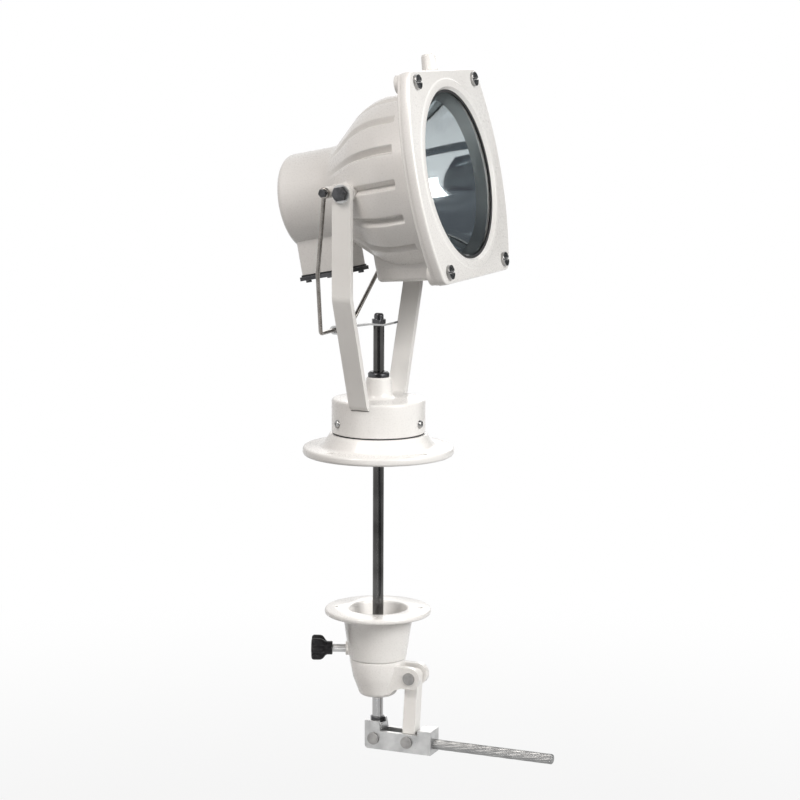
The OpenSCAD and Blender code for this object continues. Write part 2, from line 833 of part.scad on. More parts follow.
module tilt_strip() {
  mid_z = rod_top + strip_t / 2;
  bar = [bail_corner.x, bail_corner.z];
  path = [[27, mid_z + 4], [11, mid_z], [-11, mid_z], [bar.x + slot_travel + slot_r + 1, bar.y + 3.5]];
  eye_out = slot_r + strip_t;
  color("#d9d8d4") difference() {
    union() {
      upright(0, strip_w) polygon(strip_outline(path, strip_t));
      for (x = [0, slot_travel])
        translate([bar.x + x, -strip_w / 2, bar.y]) along_y() cylinder(r = eye_out, h = strip_w);
      translate([bar.x, -strip_w / 2, bar.y - eye_out]) cube([slot_travel, strip_w, 2 * eye_out]);
    }
    for (x = [0, slot_travel])
      translate([bar.x + x, -strip_w, bar.y]) along_y() cylinder(r = slot_r, h = 2 * strip_w);
    translate([bar.x, -strip_w, bar.y - slot_r]) cube([slot_travel, 2 * strip_w, 2 * slot_r]);
    cylinder(r = strip_bore_r + hole_gap, h = tilt_z);
  }
}

// A hexagon nut with a round cap over the end of the rod
module strip_nut() {
  hex_h = 6.5;
  cap_r = 6.9;
  top = 15;
  edge = 4;
  bore_h = 11.3;
  color(dark) translate([0, 0, rod_top + strip_t]) difference() {
    union() {
      hex_head(19, hex_h);
      rotate_extrude() polygon(concat(
        [[0, hex_h - 1], [cap_r, hex_h - 1]],
        arc([cap_r - edge, top - edge], edge, 0, 90, 4),
        [[0, top]]
      ));
    }
    translate([0, 0, -1]) cylinder(r = strip_bore_r + running, h = bore_h + 1);
  }
}

module rod_end() {
  half = 11;
  top = lever_z + 21.5;
  color(steel) difference() {
    union() {
      translate([-half, -link_half, lever_z]) cube([2 * half, 2 * link_half, top - lever_z]);
      translate([0, -link_half, lever_z]) along_y() cylinder(r = half, h = 2 * link_half);
      translate([0, 0, top - 1]) cylinder(r = link_half, h = rod_nut_z - top + 1);
    }
    translate([0, 0, rod_foot]) cylinder(r = rod_r, h = rod_nut_z - rod_foot + 1);
    translate([0, -link_half - 1, lever_z]) along_y() cylinder(r = pin_r + running, h = 2 * link_half + 2);
  }
}

// A thin lock nut, with two of its flats inside the lever's cheeks
module rod_lock_nut() {
  nut_h = 8;
  color(dark) translate([0, 0, rod_nut_z]) difference() {
    hex_head(20, nut_h);
    translate([0, 0, -1]) cylinder(r = rod_r, h = nut_h + 2);
  }
}

// Lever

module lever() {
  back = -14;
  top = lever_z + 12;
  bottom = lever_z - 16;
  raised = lever_z + 26.5;
  edge = 5;
  cheek = concat(
    [[lever_end, bottom + 1], [lever_end, top], [11, top], [8, raised], [back, raised]],
    arc([back + edge, bottom + edge], edge, 180, 270, 5),
    [[lever_end - 1, bottom]]
  );
  block_x = 70;
  block_top = lever_z + 19.5;
  bore_depth = 17;
  color(steel) difference() {
    union() {
      for (s = [-1, 1]) upright(s * (cheek_in + cheek_out) / 2, cheek_out - cheek_in) polygon(cheek);
      translate([block_x, -cheek_out, bottom])
        cube([lever_end - block_x, 2 * cheek_out, block_top - bottom]);
    }
    for (x = [0, fulcrum_x])
      translate([x, -cheek_out - 1, lever_z]) along_y() cylinder(r = pin_r, h = 2 * cheek_out + 2);
    translate([lever_end - bore_depth, 0, handle_z]) along_x()
      cylinder(r = handle_root_r, h = bore_depth + 1);
  }
}

// A round bar with four flutes that wind along it
module handle() {
  lobes = 4;
  turns = 1.1;
  flute = 0.9;
  outline = [
    for (i = [0:23]) let (a = 15 * i) (handle_d / 2 - flute + flute * cos(lobes * a)) * [cos(a), sin(a)]
  ];
  root = 16;
  color(steel) translate([lever_end - root, 0, handle_z]) along_x() {
    cylinder(r = handle_root_r, h = root + eps);
    translate([0, 0, root])
      linear_extrude(handle_len, twist = 360 * turns, slices = 30) polygon(outline);
  }
}

// A pin along Y with a low round head on the near side
module headed_pin(reach) {
  head_t = 3;
  translate([0, -reach - head_t, 0]) along_y() {
    cylinder(r = pin_head_r, h = head_t);
    cylinder(r = pin_r, h = 2 * reach + head_t + 3);
  }
}

module pin_clip(reach) {
  translate([0, reach + 0.2, 0]) along_y() ring(pin_r + 3, pin_r, 1.4);
}

module lever_pins() {
  color(steel) for (x = [0, fulcrum_x]) translate([x, 0, lever_z]) headed_pin(cheek_out);
}

module lever_pin_clips() {
  color(dark) for (x = [0, fulcrum_x]) translate([x, 0, lever_z]) pin_clip(cheek_out);
}

// Link

module link() {
  lean = atan2(ear_pin.x - fulcrum_x, ear_pin.y - lever_z);
  length = norm([ear_pin.x - fulcrum_x, ear_pin.y - lever_z]);
  wide = 2 * link_half;
  color(white) difference() {
    translate([fulcrum_x, 0, lever_z]) rotate([0, lean, 0]) {
      translate([-link_half, -link_half, 0]) cube([wide, wide, length]);
      for (z = [0, length]) translate([0, -link_half, z]) along_y() cylinder(r = link_half, h = wide);
    }
    translate([fulcrum_x, -wide, lever_z]) along_y() cylinder(r = pin_r + running, h = 2 * wide);
    for (x = [0, link_slot])
      translate([ear_pin.x + x, -wide, ear_pin.y]) along_y() cylinder(r = pin_r + 0.4, h = 2 * wide);
    translate([ear_pin.x, -wide, ear_pin.y - pin_r - 0.4]) cube([link_slot, 2 * wide, 2 * pin_r + 0.8]);
  }
}

// Control hub

module control_hub() {
  top = ceiling_base - 0.5;
  top_r = 42;
  low_r = 29;
  nose = 9;
  bush_top = hub_bottom + 26;
  spigot_end = ceiling_bore_top + 8;
  profile = concat(
    [[bush_r, hub_bottom]],
    arc([low_r - nose, hub_bottom + nose], nose, -70, -8, 5),
    [
      [36.5, -332], [top_r - 0.6, top - 3], [top_r - 1.2, top],
      [hub_spigot_r - running, top], [hub_spigot_r - running, spigot_end],
      [rod_r + 1, spigot_end], [rod_r + 1, bush_top], [bush_r, bush_top]
    ]
  );
  ear = concat(
    [[20, ear_pin.y + ear_r], [ear_pin.x, ear_pin.y + ear_r]],
    arc(ear_pin, ear_r, 90, -90, 12),
    [[46, ear_pin.y - ear_r], [35, -346], [27, -353], [20, -355]]
  );
  color(white) difference() {
    union() {
      rotate_extrude() polygon(profile);
      for (s = [-1, 1]) upright(s * (ear_in + ear_out) / 2, ear_out - ear_in) polygon(ear);
    }
    translate([ear_pin.x, -ear_out - 1, ear_pin.y]) along_y() cylinder(r = pin_r, h = 2 * ear_out + 2);
    translate([0, 0, hub_bottom - 1]) cylinder(r = bush_r, h = bush_top - hub_bottom + 1);
    translate([0, 0, hub_bottom]) cylinder(r = rod_r + 1, h = 100);
  }
}

module hub_bush() {
  color(bronze) translate([0, 0, hub_bottom + 0.5]) ring(bush_r, rod_r + running, 25);
}

module hub_ring() {
  color(steel) translate([0, 0, ceiling_bore_top + body_gap]) ring(30, hub_spigot_r - running, 6);
}

module ear_pin() {
  color(steel) translate([ear_pin.x, 0, ear_pin.y]) headed_pin(ear_out);
}

module ear_pin_clip() {
  color(dark) translate([ear_pin.x, 0, ear_pin.y]) pin_clip(ear_out);
}

// Lock

module lock_pad() {
  color(bronze) lock_pose() translate([0, 0, pad_r0]) cylinder(r = lock_r - running, h = pad_r1 - pad_r0);
}

module lock_screw() {
  color(steel) lock_pose() translate([0, 0, pad_r1 + hole_gap])
    cylinder(r = lock_r - running, h = knob_r0 - pad_r1 - hole_gap);
}

// A round knob with lobes, on a short neck that the screw is fixed in
module lock_knob() {
  lobes = 7;
  lobe_r = 5.2;
  core_r = knob_d / 2 - 3;
  neck = 9;
  color(black) lock_pose() {
    translate([0, 0, knob_r0]) cylinder(r = core_r, h = knob_r1 - knob_r0);
    for (i = [0:lobes - 1])
      rotate([0, 0, 360 / lobes * i]) translate([knob_d / 2 - lobe_r, 0, knob_r0 + 1])
        cylinder(r = lobe_r, h = knob_r1 - knob_r0 - 2);
    translate([0, 0, knob_r0 - neck]) ring(10, lock_r - running, neck + eps);
  }
}

roof_flange();
thrust_washer();
lower_guide_bush();
ceiling_flange();
turntable();
left_yoke_arm();
right_yoke_arm();
arm_bolts();
tilt_bushes();
retaining_screws();
gland_nut();
gland_packing();
upper_guide_bush();
drive_key();
lamp_housing();
front_frame();
front_screws();
lens_glass();
lens_gasket();
reflector();
lamp_bulb();
lamp_holder();
terminal_gasket();
terminal_cover();
terminal_bolts();
terminal_block();
cable_gland();
vent_plug();
tilt_bolts();
tilt_washers();
bail_screws();
tilt_bail();
control_rod();
tilt_strip();
strip_nut();
rod_end();
rod_lock_nut();
lever();
handle();
lever_pins();
lever_pin_clips();
link();
control_hub();
hub_bush();
hub_ring();
ear_pin();
ear_pin_clip();
lock_pad();
lock_screw();
lock_knob();
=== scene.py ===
import json
import math

import bmesh
import bpy
import numpy as np
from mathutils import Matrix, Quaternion, Vector


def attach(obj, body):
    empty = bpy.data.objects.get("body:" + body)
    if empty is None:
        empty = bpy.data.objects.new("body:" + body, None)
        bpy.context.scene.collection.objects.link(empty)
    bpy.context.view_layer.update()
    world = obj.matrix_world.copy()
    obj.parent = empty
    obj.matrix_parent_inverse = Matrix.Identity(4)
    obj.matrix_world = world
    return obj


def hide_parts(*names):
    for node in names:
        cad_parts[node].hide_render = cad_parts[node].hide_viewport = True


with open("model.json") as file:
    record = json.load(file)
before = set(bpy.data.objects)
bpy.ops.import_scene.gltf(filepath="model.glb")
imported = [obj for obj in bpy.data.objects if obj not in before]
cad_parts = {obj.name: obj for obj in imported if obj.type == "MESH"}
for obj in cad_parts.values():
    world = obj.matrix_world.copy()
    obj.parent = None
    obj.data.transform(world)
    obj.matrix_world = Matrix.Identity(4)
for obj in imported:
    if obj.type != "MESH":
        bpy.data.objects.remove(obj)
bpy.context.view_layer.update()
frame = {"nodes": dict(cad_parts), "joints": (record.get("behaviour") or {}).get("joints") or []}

# Driving sizes, in metres and in the row's frame

MM = 0.001
MERGE_GAP = 1e-6
SLIVER = 1e-7
COPY_MERGE_GAP = 2e-6
FLAT_ANGLE = math.radians(0.4)
BEND_STEPS = 8
JOINTS = {joint["name"]: joint for joint in frame["joints"]}
TILT_Z = JOINTS["tilt"]["pos_m"][2]
BEAM_TILT = math.radians(11)
LAMP_TURN = np.array([
    [math.cos(BEAM_TILT), 0, -math.sin(BEAM_TILT)],
    [0, 1, 0],
    [math.sin(BEAM_TILT), 0, math.cos(BEAM_TILT)],
])
LAMP_ORIGIN = np.array([0, 0, TILT_Z])
BEAM = LAMP_TURN[:, 0]
SIDES = (-1, 1)

FRONT_X = 128 * MM
FRAME_T = 13 * MM
FRAME_BACK = FRONT_X - FRAME_T
FRAME_HALF_W = 159 * MM
CORNER_R = 16 * MM
SCREW_Y = 106 * MM
SCREW_Z = 131.5 * MM
CORNER_Y = SCREW_Y + 7 * MM
FLANGE_BACK = FRAME_BACK - 6 * MM
FLANGE_INSET = 1.2 * MM
LUG_BACK = FRAME_BACK - 12 * MM
LUG_R = CORNER_R - 2 * MM
BELL_R = 127 * MM
BELL_SLOPE = math.radians(39)
SHOULDER_R = 100 * MM
SHOULDER_X = 23 * MM
SHOULDER_RUN = SHOULDER_R * math.tan(BELL_SLOPE / 2)
DRUM_R = 70 * MM
BELL_REAR = SHOULDER_X - (BELL_R - DRUM_R) / math.tan(BELL_SLOPE)
DRUM_BACK = -131.5 * MM
DRUM_WALL = 9 * MM
FLUTES = 16
FLUTE_W = 14.5 * MM
FLUTE_DEPTH = 10 * MM
FLUTE_FRONT = 79.5 * MM
FLUTE_FADE = 70 * MM
BAIL_ARM = 28 * MM
BAIL_PLACE = (-BAIL_ARM * math.cos(BEAM_TILT), BAIL_ARM * math.sin(BEAM_TILT))
REFLECTOR_BASE = 10
PARABOLA = 118 ** 2 / 105
FOCUS = REFLECTOR_BASE + PARABOLA / 4
VENT_X = 108.5 * MM
RETAINING_SCREW_Z = 49 * MM
STRIP_TOP = 191 * MM
LOCK_Z = -291 * MM
LOCK_TURN = math.radians(201)
LOCK_AXIS = (math.cos(LOCK_TURN), math.sin(LOCK_TURN), 0)
ROD_NUT_Z = -401 * MM
HANDLE_Z = -425.5 * MM

# Mesh helpers


def closed_mesh(name, surfaces):
    """One mesh of several closed surfaces. Each is (grid, wrap_u, wrap_v): quads through a grid of
    points [u, v, xyz], where a wrapped side joins its last row to its first. Points that meet, as at a
    pole, are merged, and the faces are turned outwards."""
    points, quads, start = [], [], 0
    for grid, wrap_u, wrap_v in surfaces:
        rows, columns = grid.shape[:2]
        u, v = np.meshgrid(
            np.arange(rows if wrap_u else rows - 1),
            np.arange(columns if wrap_v else columns - 1),
            indexing="ij",
        )
        next_u, next_v = (u + 1) % rows, (v + 1) % columns
        corners = [
            u * columns + v, next_u * columns + v,
            next_u * columns + next_v, u * columns + next_v,
        ]
        quads.append(np.stack(corners, -1).reshape(-1, 4) + start)
        points.append(grid.reshape(-1, 3))
        start += rows * columns
    mesh = bpy.data.meshes.new(name)
    mesh.from_pydata(np.concatenate(points).tolist(), [], np.concatenate(quads).tolist())
    shell = bmesh.new()
    shell.from_mesh(mesh)
    bmesh.ops.remove_doubles(shell, verts=shell.verts, dist=MERGE_GAP)
    bmesh.ops.dissolve_degenerate(shell, edges=shell.edges, dist=SLIVER)
    bmesh.ops.recalc_face_normals(shell, faces=shell.faces)
    shell.to_mesh(mesh)
    shell.free()
    return mesh


def add_piece(mesh, body, material, nodes=(), smooth_angle=32):
    """Puts a mesh in the scene as a piece on a body, smooth where faces meet at less than the angle."""
    piece = bpy.data.objects.new(mesh.name, mesh)
    bpy.context.scene.collection.objects.link(piece)
    mesh.shade_smooth()
    mesh.set_sharp_from_angle(angle=math.radians(smooth_angle))
    mesh.materials.clear()
    mesh.materials.append(material)
    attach(piece, body)
    if nodes:
        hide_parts(*nodes)
    return piece


def corner_arc(before, corner, after, radius, steps):
    """Points of the arc that rounds a corner: centre - r (m cos t - n sin t), where m halves the corner,
    n is square to m, and the centre lies r / sin of half the corner's angle along m."""
    back, ahead = before - corner, after - corner
    back, ahead = back / np.linalg.norm(back), ahead / np.linalg.norm(ahead)
    half = math.acos(np.clip(back @ ahead, -1, 1)) / 2
    middle = (back + ahead) / np.linalg.norm(back + ahead)
    across = ahead - middle * (ahead @ middle)
    across = across / np.linalg.norm(across)
    centre = corner + middle * radius / math.sin(half)
    turn = np.linspace(half - math.pi / 2, math.pi / 2 - half, steps + 1)
    return centre - radius * (np.outer(np.cos(turn), middle) - np.outer(np.sin(turn), across))


def rounded(corners, steps=6, closed=False):
    """Points of an outline whose corners (x, y, radius) are rounded by arcs tangent to both sides."""
    path = np.array([corner[:2] for corner in corners], float)
    out = []
    for i, corner in enumerate(corners):
        radius = corner[2]
        end = not closed and i in (0, len(corners) - 1)
        if end or radius <= 0:
            out.append(path[i:i + 1])
        else:
            out.append(corner_arc(path[i - 1], path[i], path[(i + 1) % len(path)], radius, steps))
    return np.concatenate(out)


def axes_for(direction):
    """Three axes as columns, the last along the direction."""
    w = np.array(direction, float)
    w = w / np.linalg.norm(w)
    helper = np.array([0, 0, 1.0]) if abs(w[2]) < 0.9 else np.array([1.0, 0, 0])
    u = np.cross(helper, w)
    u = u / np.linalg.norm(u)
    return np.stack([u, np.cross(w, u), w], 1)


def lathe(profile, origin=(0, 0, 0), direction=(0, 0, 1), columns=96, lobes=None):
    """A profile of (radius, height) turned about an axis: (r cos a, r sin a, h). lobes, where given, is
    a function of the angle and the row that scales the radius."""
    turn = np.linspace(0, 2 * math.pi, columns, endpoint=False)
    radius = profile[:, :1] * (np.ones_like(turn) if lobes is None else lobes(turn, profile))
    grid = np.stack(
        [radius * np.cos(turn), radius * np.sin(turn), np.repeat(profile[:, 1:], columns, 1)], -1
    )
    return grid @ axes_for(direction).T + np.array(origin, float)


def tube(path, radius, columns=20):
    """A round wire along a path: circles square to it, carried along with no twist, and flat ends."""
    along = np.gradient(path, axis=0)
    along = along / np.linalg.norm(along, axis=1, keepdims=True)
    side = np.zeros_like(path)
    side[0] = axes_for(along[0])[:, 0]
    for i in range(1, len(path)):
        kept = side[i - 1] - along[i] * (side[i - 1] @ along[i])
        side[i] = kept / np.linalg.norm(kept)
    other = np.cross(along, side)
    turn = np.linspace(0, 2 * math.pi, columns, endpoint=False)
    rings = path[:, None] + radius * (
        np.cos(turn)[None, :, None] * side[:, None] + np.sin(turn)[None, :, None] * other[:, None]
    )
    first = np.repeat(path[:1, None], columns, 1)
    last = np.repeat(path[-1:, None], columns, 1)
    return np.concatenate([first, rings, last])


def smooth_path(corners, count):
    """Points along straight runs between corners (xyz, radius of the bend), with each corner round."""
    places = np.array([place for place, bend in corners], float)
    points = [places[:1]]
    for i in range(1, len(corners) - 1):
        bend = corners[i][1]
        points.append(corner_arc(places[i - 1], places[i], places[i + 1], bend, BEND_STEPS))
    points = np.concatenate([*points, places[-1:]])
    reach = np.concatenate([[0], np.cumsum(np.linalg.norm(np.diff(points, axis=0), axis=1))])
    stations = np.union1d(np.linspace(0, reach[-1], count), reach)
    return np.stack([np.interp(stations, reach, points[:, k]) for k in range(3)], 1)


def lamp_to_row(grid):
    """Carries points from the lamp's own frame, X along the beam, to the row's frame."""
    return grid @ LAMP_TURN.T + LAMP_ORIGIN


def dressed_copy(node, body, material, bevel, steps=3, angle=32):
    """A copy of a CAD node with merged faces and softened edges, which stands for the node."""
    mesh = frame["nodes"][node].data.copy()
    mesh.name = node + "_skin"
    shell = bmesh.new()
    shell.from_mesh(mesh)
    bmesh.ops.remove_doubles(shell, verts=shell.verts, dist=COPY_MERGE_GAP)
    bmesh.ops.dissolve_limit(shell, angle_limit=FLAT_ANGLE, verts=shell.verts, edges=shell.edges)
    shell.to_mesh(mesh)
    shell.free()
    piece = add_piece(mesh, body, material, [node], angle)
    soften = piece.modifiers.new("soft_edges", "BEVEL")
    soften.width = bevel
    soften.segments = steps
    soften.limit_method = "ANGLE"
    soften.angle_limit = math.radians(angle)
    soften.use_clamp_overlap = True
    soften.harden_normals = True
    return piece


# Shared shader effects


def grain_group():
    """A node group that puts out a coarse tone and a fine grain, from noise on Object coordinates that
    are stretched along the way the surface was worked."""
    group = bpy.data.node_groups.new("worked_surface", "ShaderNodeTree")
    face = group.interface
    for label, kind, value in (
        ("Tone Scale", "NodeSocketFloat", 12.0),
        ("Grain Scale", "NodeSocketFloat", 400.0),
        ("Stretch", "NodeSocketVector", (1.0, 1.0, 1.0)),
    ):
        face.new_socket(label, in_out="INPUT", socket_type=kind).default_value = value
    for label in ("Tone", "Grain"):
        face.new_socket(label, in_out="OUTPUT", socket_type="NodeSocketFloat")
    nodes, links = group.nodes, group.links
    given = nodes.new("NodeGroupInput")
    result = nodes.new("NodeGroupOutput")
    place = nodes.new("ShaderNodeTexCoord")
    stretch = nodes.new("ShaderNodeVectorMath")
    stretch.operation = "MULTIPLY"
    links.new(place.outputs["Object"], stretch.inputs[0])
    links.new(given.outputs["Stretch"], stretch.inputs[1])
    for label, source, detail, low, high in (
        ("Tone", place.outputs["Object"], 3.0, 0.32, 0.68),
        ("Grain", stretch.outputs[0], 2.0, 0.25, 0.75),
    ):
        noise = nodes.new("ShaderNodeTexNoise")
        noise.inputs["Detail"].default_value = detail
        spread = nodes.new("ShaderNodeMapRange")
        spread.inputs["From Min"].default_value = low
        spread.inputs["From Max"].default_value = high
        links.new(source, noise.inputs["Vector"])
        links.new(given.outputs[label + " Scale"], noise.inputs["Scale"])
        links.new(noise.outputs["Fac"], spread.inputs["Value"])
        links.new(spread.outputs["Result"], result.inputs[label])
    return group


def edge_group():
    """A node group that puts out a mask of the sharp outer edges: where the normal of a slightly rounded
    surface turns away from the true normal, broken up by noise."""
    group = bpy.data.node_groups.new("rubbed_edges", "ShaderNodeTree")
    face = group.interface
    face.new_socket("Width", in_out="INPUT", socket_type="NodeSocketFloat").default_value = 0.001
    face.new_socket("Mask", in_out="OUTPUT", socket_type="NodeSocketFloat")
    nodes, links = group.nodes, group.links
    given = nodes.new("NodeGroupInput")
    result = nodes.new("NodeGroupOutput")
    soft = nodes.new("ShaderNodeBevel")
    soft.samples = 4
    true = nodes.new("ShaderNodeNewGeometry")
    dot = nodes.new("ShaderNodeVectorMath")
    dot.operation = "DOT_PRODUCT"
    spread = nodes.new("ShaderNodeMapRange")
    spread.inputs["From Min"].default_value = 0.98
    spread.inputs["From Max"].default_value = 0.80
    place = nodes.new("ShaderNodeTexCoord")
    noise = nodes.new("ShaderNodeTexNoise")
    noise.inputs["Scale"].default_value = 260.0
    broken = nodes.new("ShaderNodeMath")
    broken.operation = "MULTIPLY"
    links.new(given.outputs["Width"], soft.inputs["Radius"])
    links.new(soft.outputs["Normal"], dot.inputs[0])
    links.new(true.outputs["Normal"], dot.inputs[1])
    links.new(dot.outputs["Value"], spread.inputs["Value"])
    links.new(place.outputs["Object"], noise.inputs["Vector"])
    links.new(spread.outputs["Result"], broken.inputs[0])
    links.new(noise.outputs["Fac"], broken.inputs[1])
    links.new(broken.outputs["Value"], result.inputs["Mask"])
    return group


GRAIN = grain_group()
EDGES = edge_group()

# Materials, and the sockets of a Mix node that carry colours

MIX_A, MIX_B, MIX_RESULT = 6, 7, 2
COAT_ROUGHNESS = 0.08


def new_material(name):
    """A material with its nodes and links."""
    material = bpy.data.materials.new(name)
    material.use_nodes = True
    return material, material.node_tree.nodes, material.node_tree.links


def mix_colours(nodes, links, factor, first, second):
    """A colour mix node; first and second are colours or sockets."""
    mix = nodes.new("ShaderNodeMix")
    mix.data_type = "RGBA"
    links.new(factor, mix.inputs["Factor"])
    for socket, value in ((mix.inputs[MIX_A], first), (mix.inputs[MIX_B], second)):
        if isinstance(value, bpy.types.NodeSocket):
            links.new(value, socket)
        else:
            socket.default_value = (*value, 1.0)
    return mix.outputs[MIX_RESULT]


def finish(name, dark, light, rough, metallic=0.0, tone=12.0, grain=400.0, stretch=(1, 1, 1), bump=0.03,
           depth=0.0001, coat=0.0, edge=None, edge_width=0.001, specular=0.5):
    """A worked surface: its colour wanders between two tones, its roughness follows the fine grain, the
    grain stands up as a bump, and its edges may be rubbed to another colour."""
    material, nodes, links = new_material(name)
    shader = nodes["Principled BSDF"]
    shader.inputs["Metallic"].default_value = metallic
    shader.inputs["Coat Weight"].default_value = coat
    shader.inputs["Coat Roughness"].default_value = COAT_ROUGHNESS
    shader.inputs["Specular IOR Level"].default_value = specular
    worked = nodes.new("ShaderNodeGroup")
    worked.node_tree = GRAIN
    worked.inputs["Tone Scale"].default_value = tone
    worked.inputs["Grain Scale"].default_value = grain
    worked.inputs["Stretch"].default_value = stretch
    colour = mix_colours(nodes, links, worked.outputs["Tone"], dark, light)
    if edge:
        lightened = nodes.new("ShaderNodeGroup")
        lightened.node_tree = EDGES
        lightened.inputs["Width"].default_value = edge_width
        colour = mix_colours(nodes, links, lightened.outputs["Mask"], colour, edge)
    links.new(colour, shader.inputs["Base Color"])
    spread = nodes.new("ShaderNodeMapRange")
    spread.inputs["To Min"].default_value, spread.inputs["To Max"].default_value = rough
    links.new(worked.outputs["Grain"], spread.inputs["Value"])
    links.new(spread.outputs["Result"], shader.inputs["Roughness"])
    raised = nodes.new("ShaderNodeBump")
    raised.inputs["Strength"].default_value = bump
    raised.inputs["Distance"].default_value = depth
    links.new(worked.outputs["Grain"], raised.inputs["Height"])
    links.new(raised.outputs["Normal"], shader.inputs["Normal"])
    return material


def clear_glass(name, tint, rough, ior=1.5):
    """Clear glass with faint smears in its gloss."""
    material = finish(name, [0.96 * c for c in tint], tint, rough, tone=18.0, grain=60.0, bump=0.01)
    shader = material.node_tree.nodes["Principled BSDF"]
    shader.inputs["Transmission Weight"].default_value = 1.0
    shader.inputs["IOR"].default_value = ior
    return material


def past_station(nodes, links, direction, start, run):
    """A mask that rises smoothly from 0 to 1 over a run, from where the way along a direction, which is
    the dot product of the place and the direction, passes a station."""
    place = nodes.new("ShaderNodeTexCoord")
    along = nodes.new("ShaderNodeVectorMath")
    along.operation = "DOT_PRODUCT"
    along.inputs[1].default_value = direction
    links.new(place.outputs["Object"], along.inputs[0])
    beyond = nodes.new("ShaderNodeMapRange")
    beyond.interpolation_type = "SMOOTHSTEP"
    beyond.inputs["From Min"].default_value = start
    beyond.inputs["From Max"].default_value = start + run
    links.new(along.outputs["Value"], beyond.inputs["Value"])
    return beyond.outputs["Result"]


def dark_painted_rod(name, lighter_from, lighter_run, lightened):
    """Drawn steel whose base colour is painted near black, a painted reflection of the dark surroundings it
    mirrors, and which turns lighter towards its lower end.
    """
    # The near-black base colours are painted reflection: they stand for the dark surroundings that the rod
    # mirrors.
    material = finish(name, (0.052, 0.050, 0.049), (0.105, 0.103, 0.101), (0.14, 0.28), metallic=1.0,
                      tone=22.0, grain=900.0, stretch=(1, 1, 0.02), bump=0.06)
    nodes, links = material.node_tree.nodes, material.node_tree.links
    base = nodes["Principled BSDF"].inputs["Base Color"]
    # From a station downwards the colour is mixed towards a lighter one, so the rod is lighter towards its
    # lower end.
    below = past_station(nodes, links, (0, 0, -1), lighter_from, lighter_run)
    links.new(mix_colours(nodes, links, below, base.links[0].from_socket, lightened), base)
    return material


def spun_mirror(name, rim_start, rim_colour, rim_rough):
    """A silvered bowl with a satin rim, which starts at a station along the beam."""
    material = finish(name, (0.76, 0.805, 0.83), (0.83, 0.875, 0.90), (0.03, 0.09), metallic=1.0,
                      tone=9.0, grain=60.0, bump=0.02)
    nodes, links = material.node_tree.nodes, material.node_tree.links
    shader = nodes["Principled BSDF"]
    on_rim = past_station(nodes, links, BEAM, rim_start + float(LAMP_ORIGIN @ BEAM), 0.8 * MM)
    bowl = shader.inputs["Base Color"].links[0].from_socket
    links.new(mix_colours(nodes, links, on_rim, bowl, rim_colour), shader.inputs["Base Color"])
    gloss = nodes.new("ShaderNodeMix")
    links.new(on_rim, gloss.inputs["Factor"])
    links.new(shader.inputs["Roughness"].links[0].from_socket, gloss.inputs["A"])
    gloss.inputs["B"].default_value = rim_rough
    links.new(gloss.outputs["Result"], shader.inputs["Roughness"])
    return material


WHITE = finish("white_enamel", (0.81, 0.79, 0.765), (0.865, 0.85, 0.83), (0.24, 0.34), tone=7.0,
               grain=520.0, bump=0.10, coat=0.25)
WHITE_BAR = finish("white_enamel_bar", (0.80, 0.78, 0.755), (0.855, 0.84, 0.815), (0.26, 0.38), tone=9.0,
                   grain=420.0, bump=0.10, coat=0.2)
# The rod's near-black colour is painted reflection, lighter towards its lower end.
STEEL = dark_painted_rod("drawn_steel", 170 * MM, 190 * MM, (0.42, 0.42, 0.42))
WIRE = finish("bail_wire", (0.20, 0.185, 0.17), (0.33, 0.31, 0.29), (0.20, 0.34), metallic=1.0,
              tone=40.0, grain=700.0, bump=0.05)
ZINC = finish("zinc_plate", (0.42, 0.42, 0.42), (0.58, 0.58, 0.575), (0.26, 0.46), metallic=1.0,
              tone=55.0, grain=600.0, bump=0.08, edge=(0.74, 0.74, 0.74))
PIN_STEEL = finish("pin_steel", (0.25, 0.245, 0.24), (0.38, 0.37, 0.36), (0.30, 0.48), metallic=1.0,
                   tone=90.0, grain=900.0, bump=0.08, edge=(0.62, 0.61, 0.60), edge_width=0.0012)
SCREW_STEEL = finish("screw_steel", (0.24, 0.24, 0.235), (0.44, 0.435, 0.43), (0.16, 0.34), metallic=1.0,
                     tone=90.0, grain=900.0, bump=0.06, edge=(0.66, 0.65, 0.64), edge_width=0.0012)
DARK = finish("dark_steel", (0.045, 0.045, 0.047), (0.10, 0.10, 0.105), (0.24, 0.42), metallic=1.0,
              tone=80.0, grain=800.0, bump=0.06, edge=(0.45, 0.45, 0.46), edge_width=0.0008)
BRONZE = finish("bronze", (0.45, 0.30, 0.13), (0.60, 0.43, 0.20), (0.25, 0.40), metallic=1.0,
                tone=60.0, grain=900.0, bump=0.05)
RUBBER = finish("black_rubber", (0.012, 0.012, 0.013), (0.022, 0.022, 0.024), (0.55, 0.75), tone=90.0,
                grain=1500.0, bump=0.10)
PLASTIC = finish("black_plastic", (0.006, 0.006, 0.007), (0.013, 0.013, 0.014), (0.36, 0.50), tone=60.0,
                 grain=1200.0, bump=0.10, edge=(0.035, 0.035, 0.035), specular=0.25)
HANDLE_STEEL = finish("handle_steel", (0.27, 0.27, 0.27), (0.38, 0.38, 0.375), (0.34, 0.50), metallic=1.0,
                      tone=60.0, grain=700.0, stretch=(0.03, 1, 1), bump=0.05)
MIRROR = spun_mirror("reflector_mirror", 98 * MM, (0.32, 0.34, 0.34), 0.30)
CERAMIC = finish("glazed_ceramic", (0.62, 0.58, 0.49), (0.72, 0.69, 0.61), (0.15, 0.30), tone=45.0,
                 grain=700.0, bump=0.04, coat=0.3)
FILAMENT = finish("filament", (0.10, 0.10, 0.10), (0.20, 0.20, 0.20), (0.3, 0.5), metallic=1.0,
                  grain=2000.0)
GLASS = clear_glass("lens_clear", (0.97, 0.99, 0.99), (0.0, 0.02))
BULB_GLASS = clear_glass("bulb_clear", (0.98, 0.98, 0.96), (0.0, 0.03), ior=1.3)

# Lamp housing


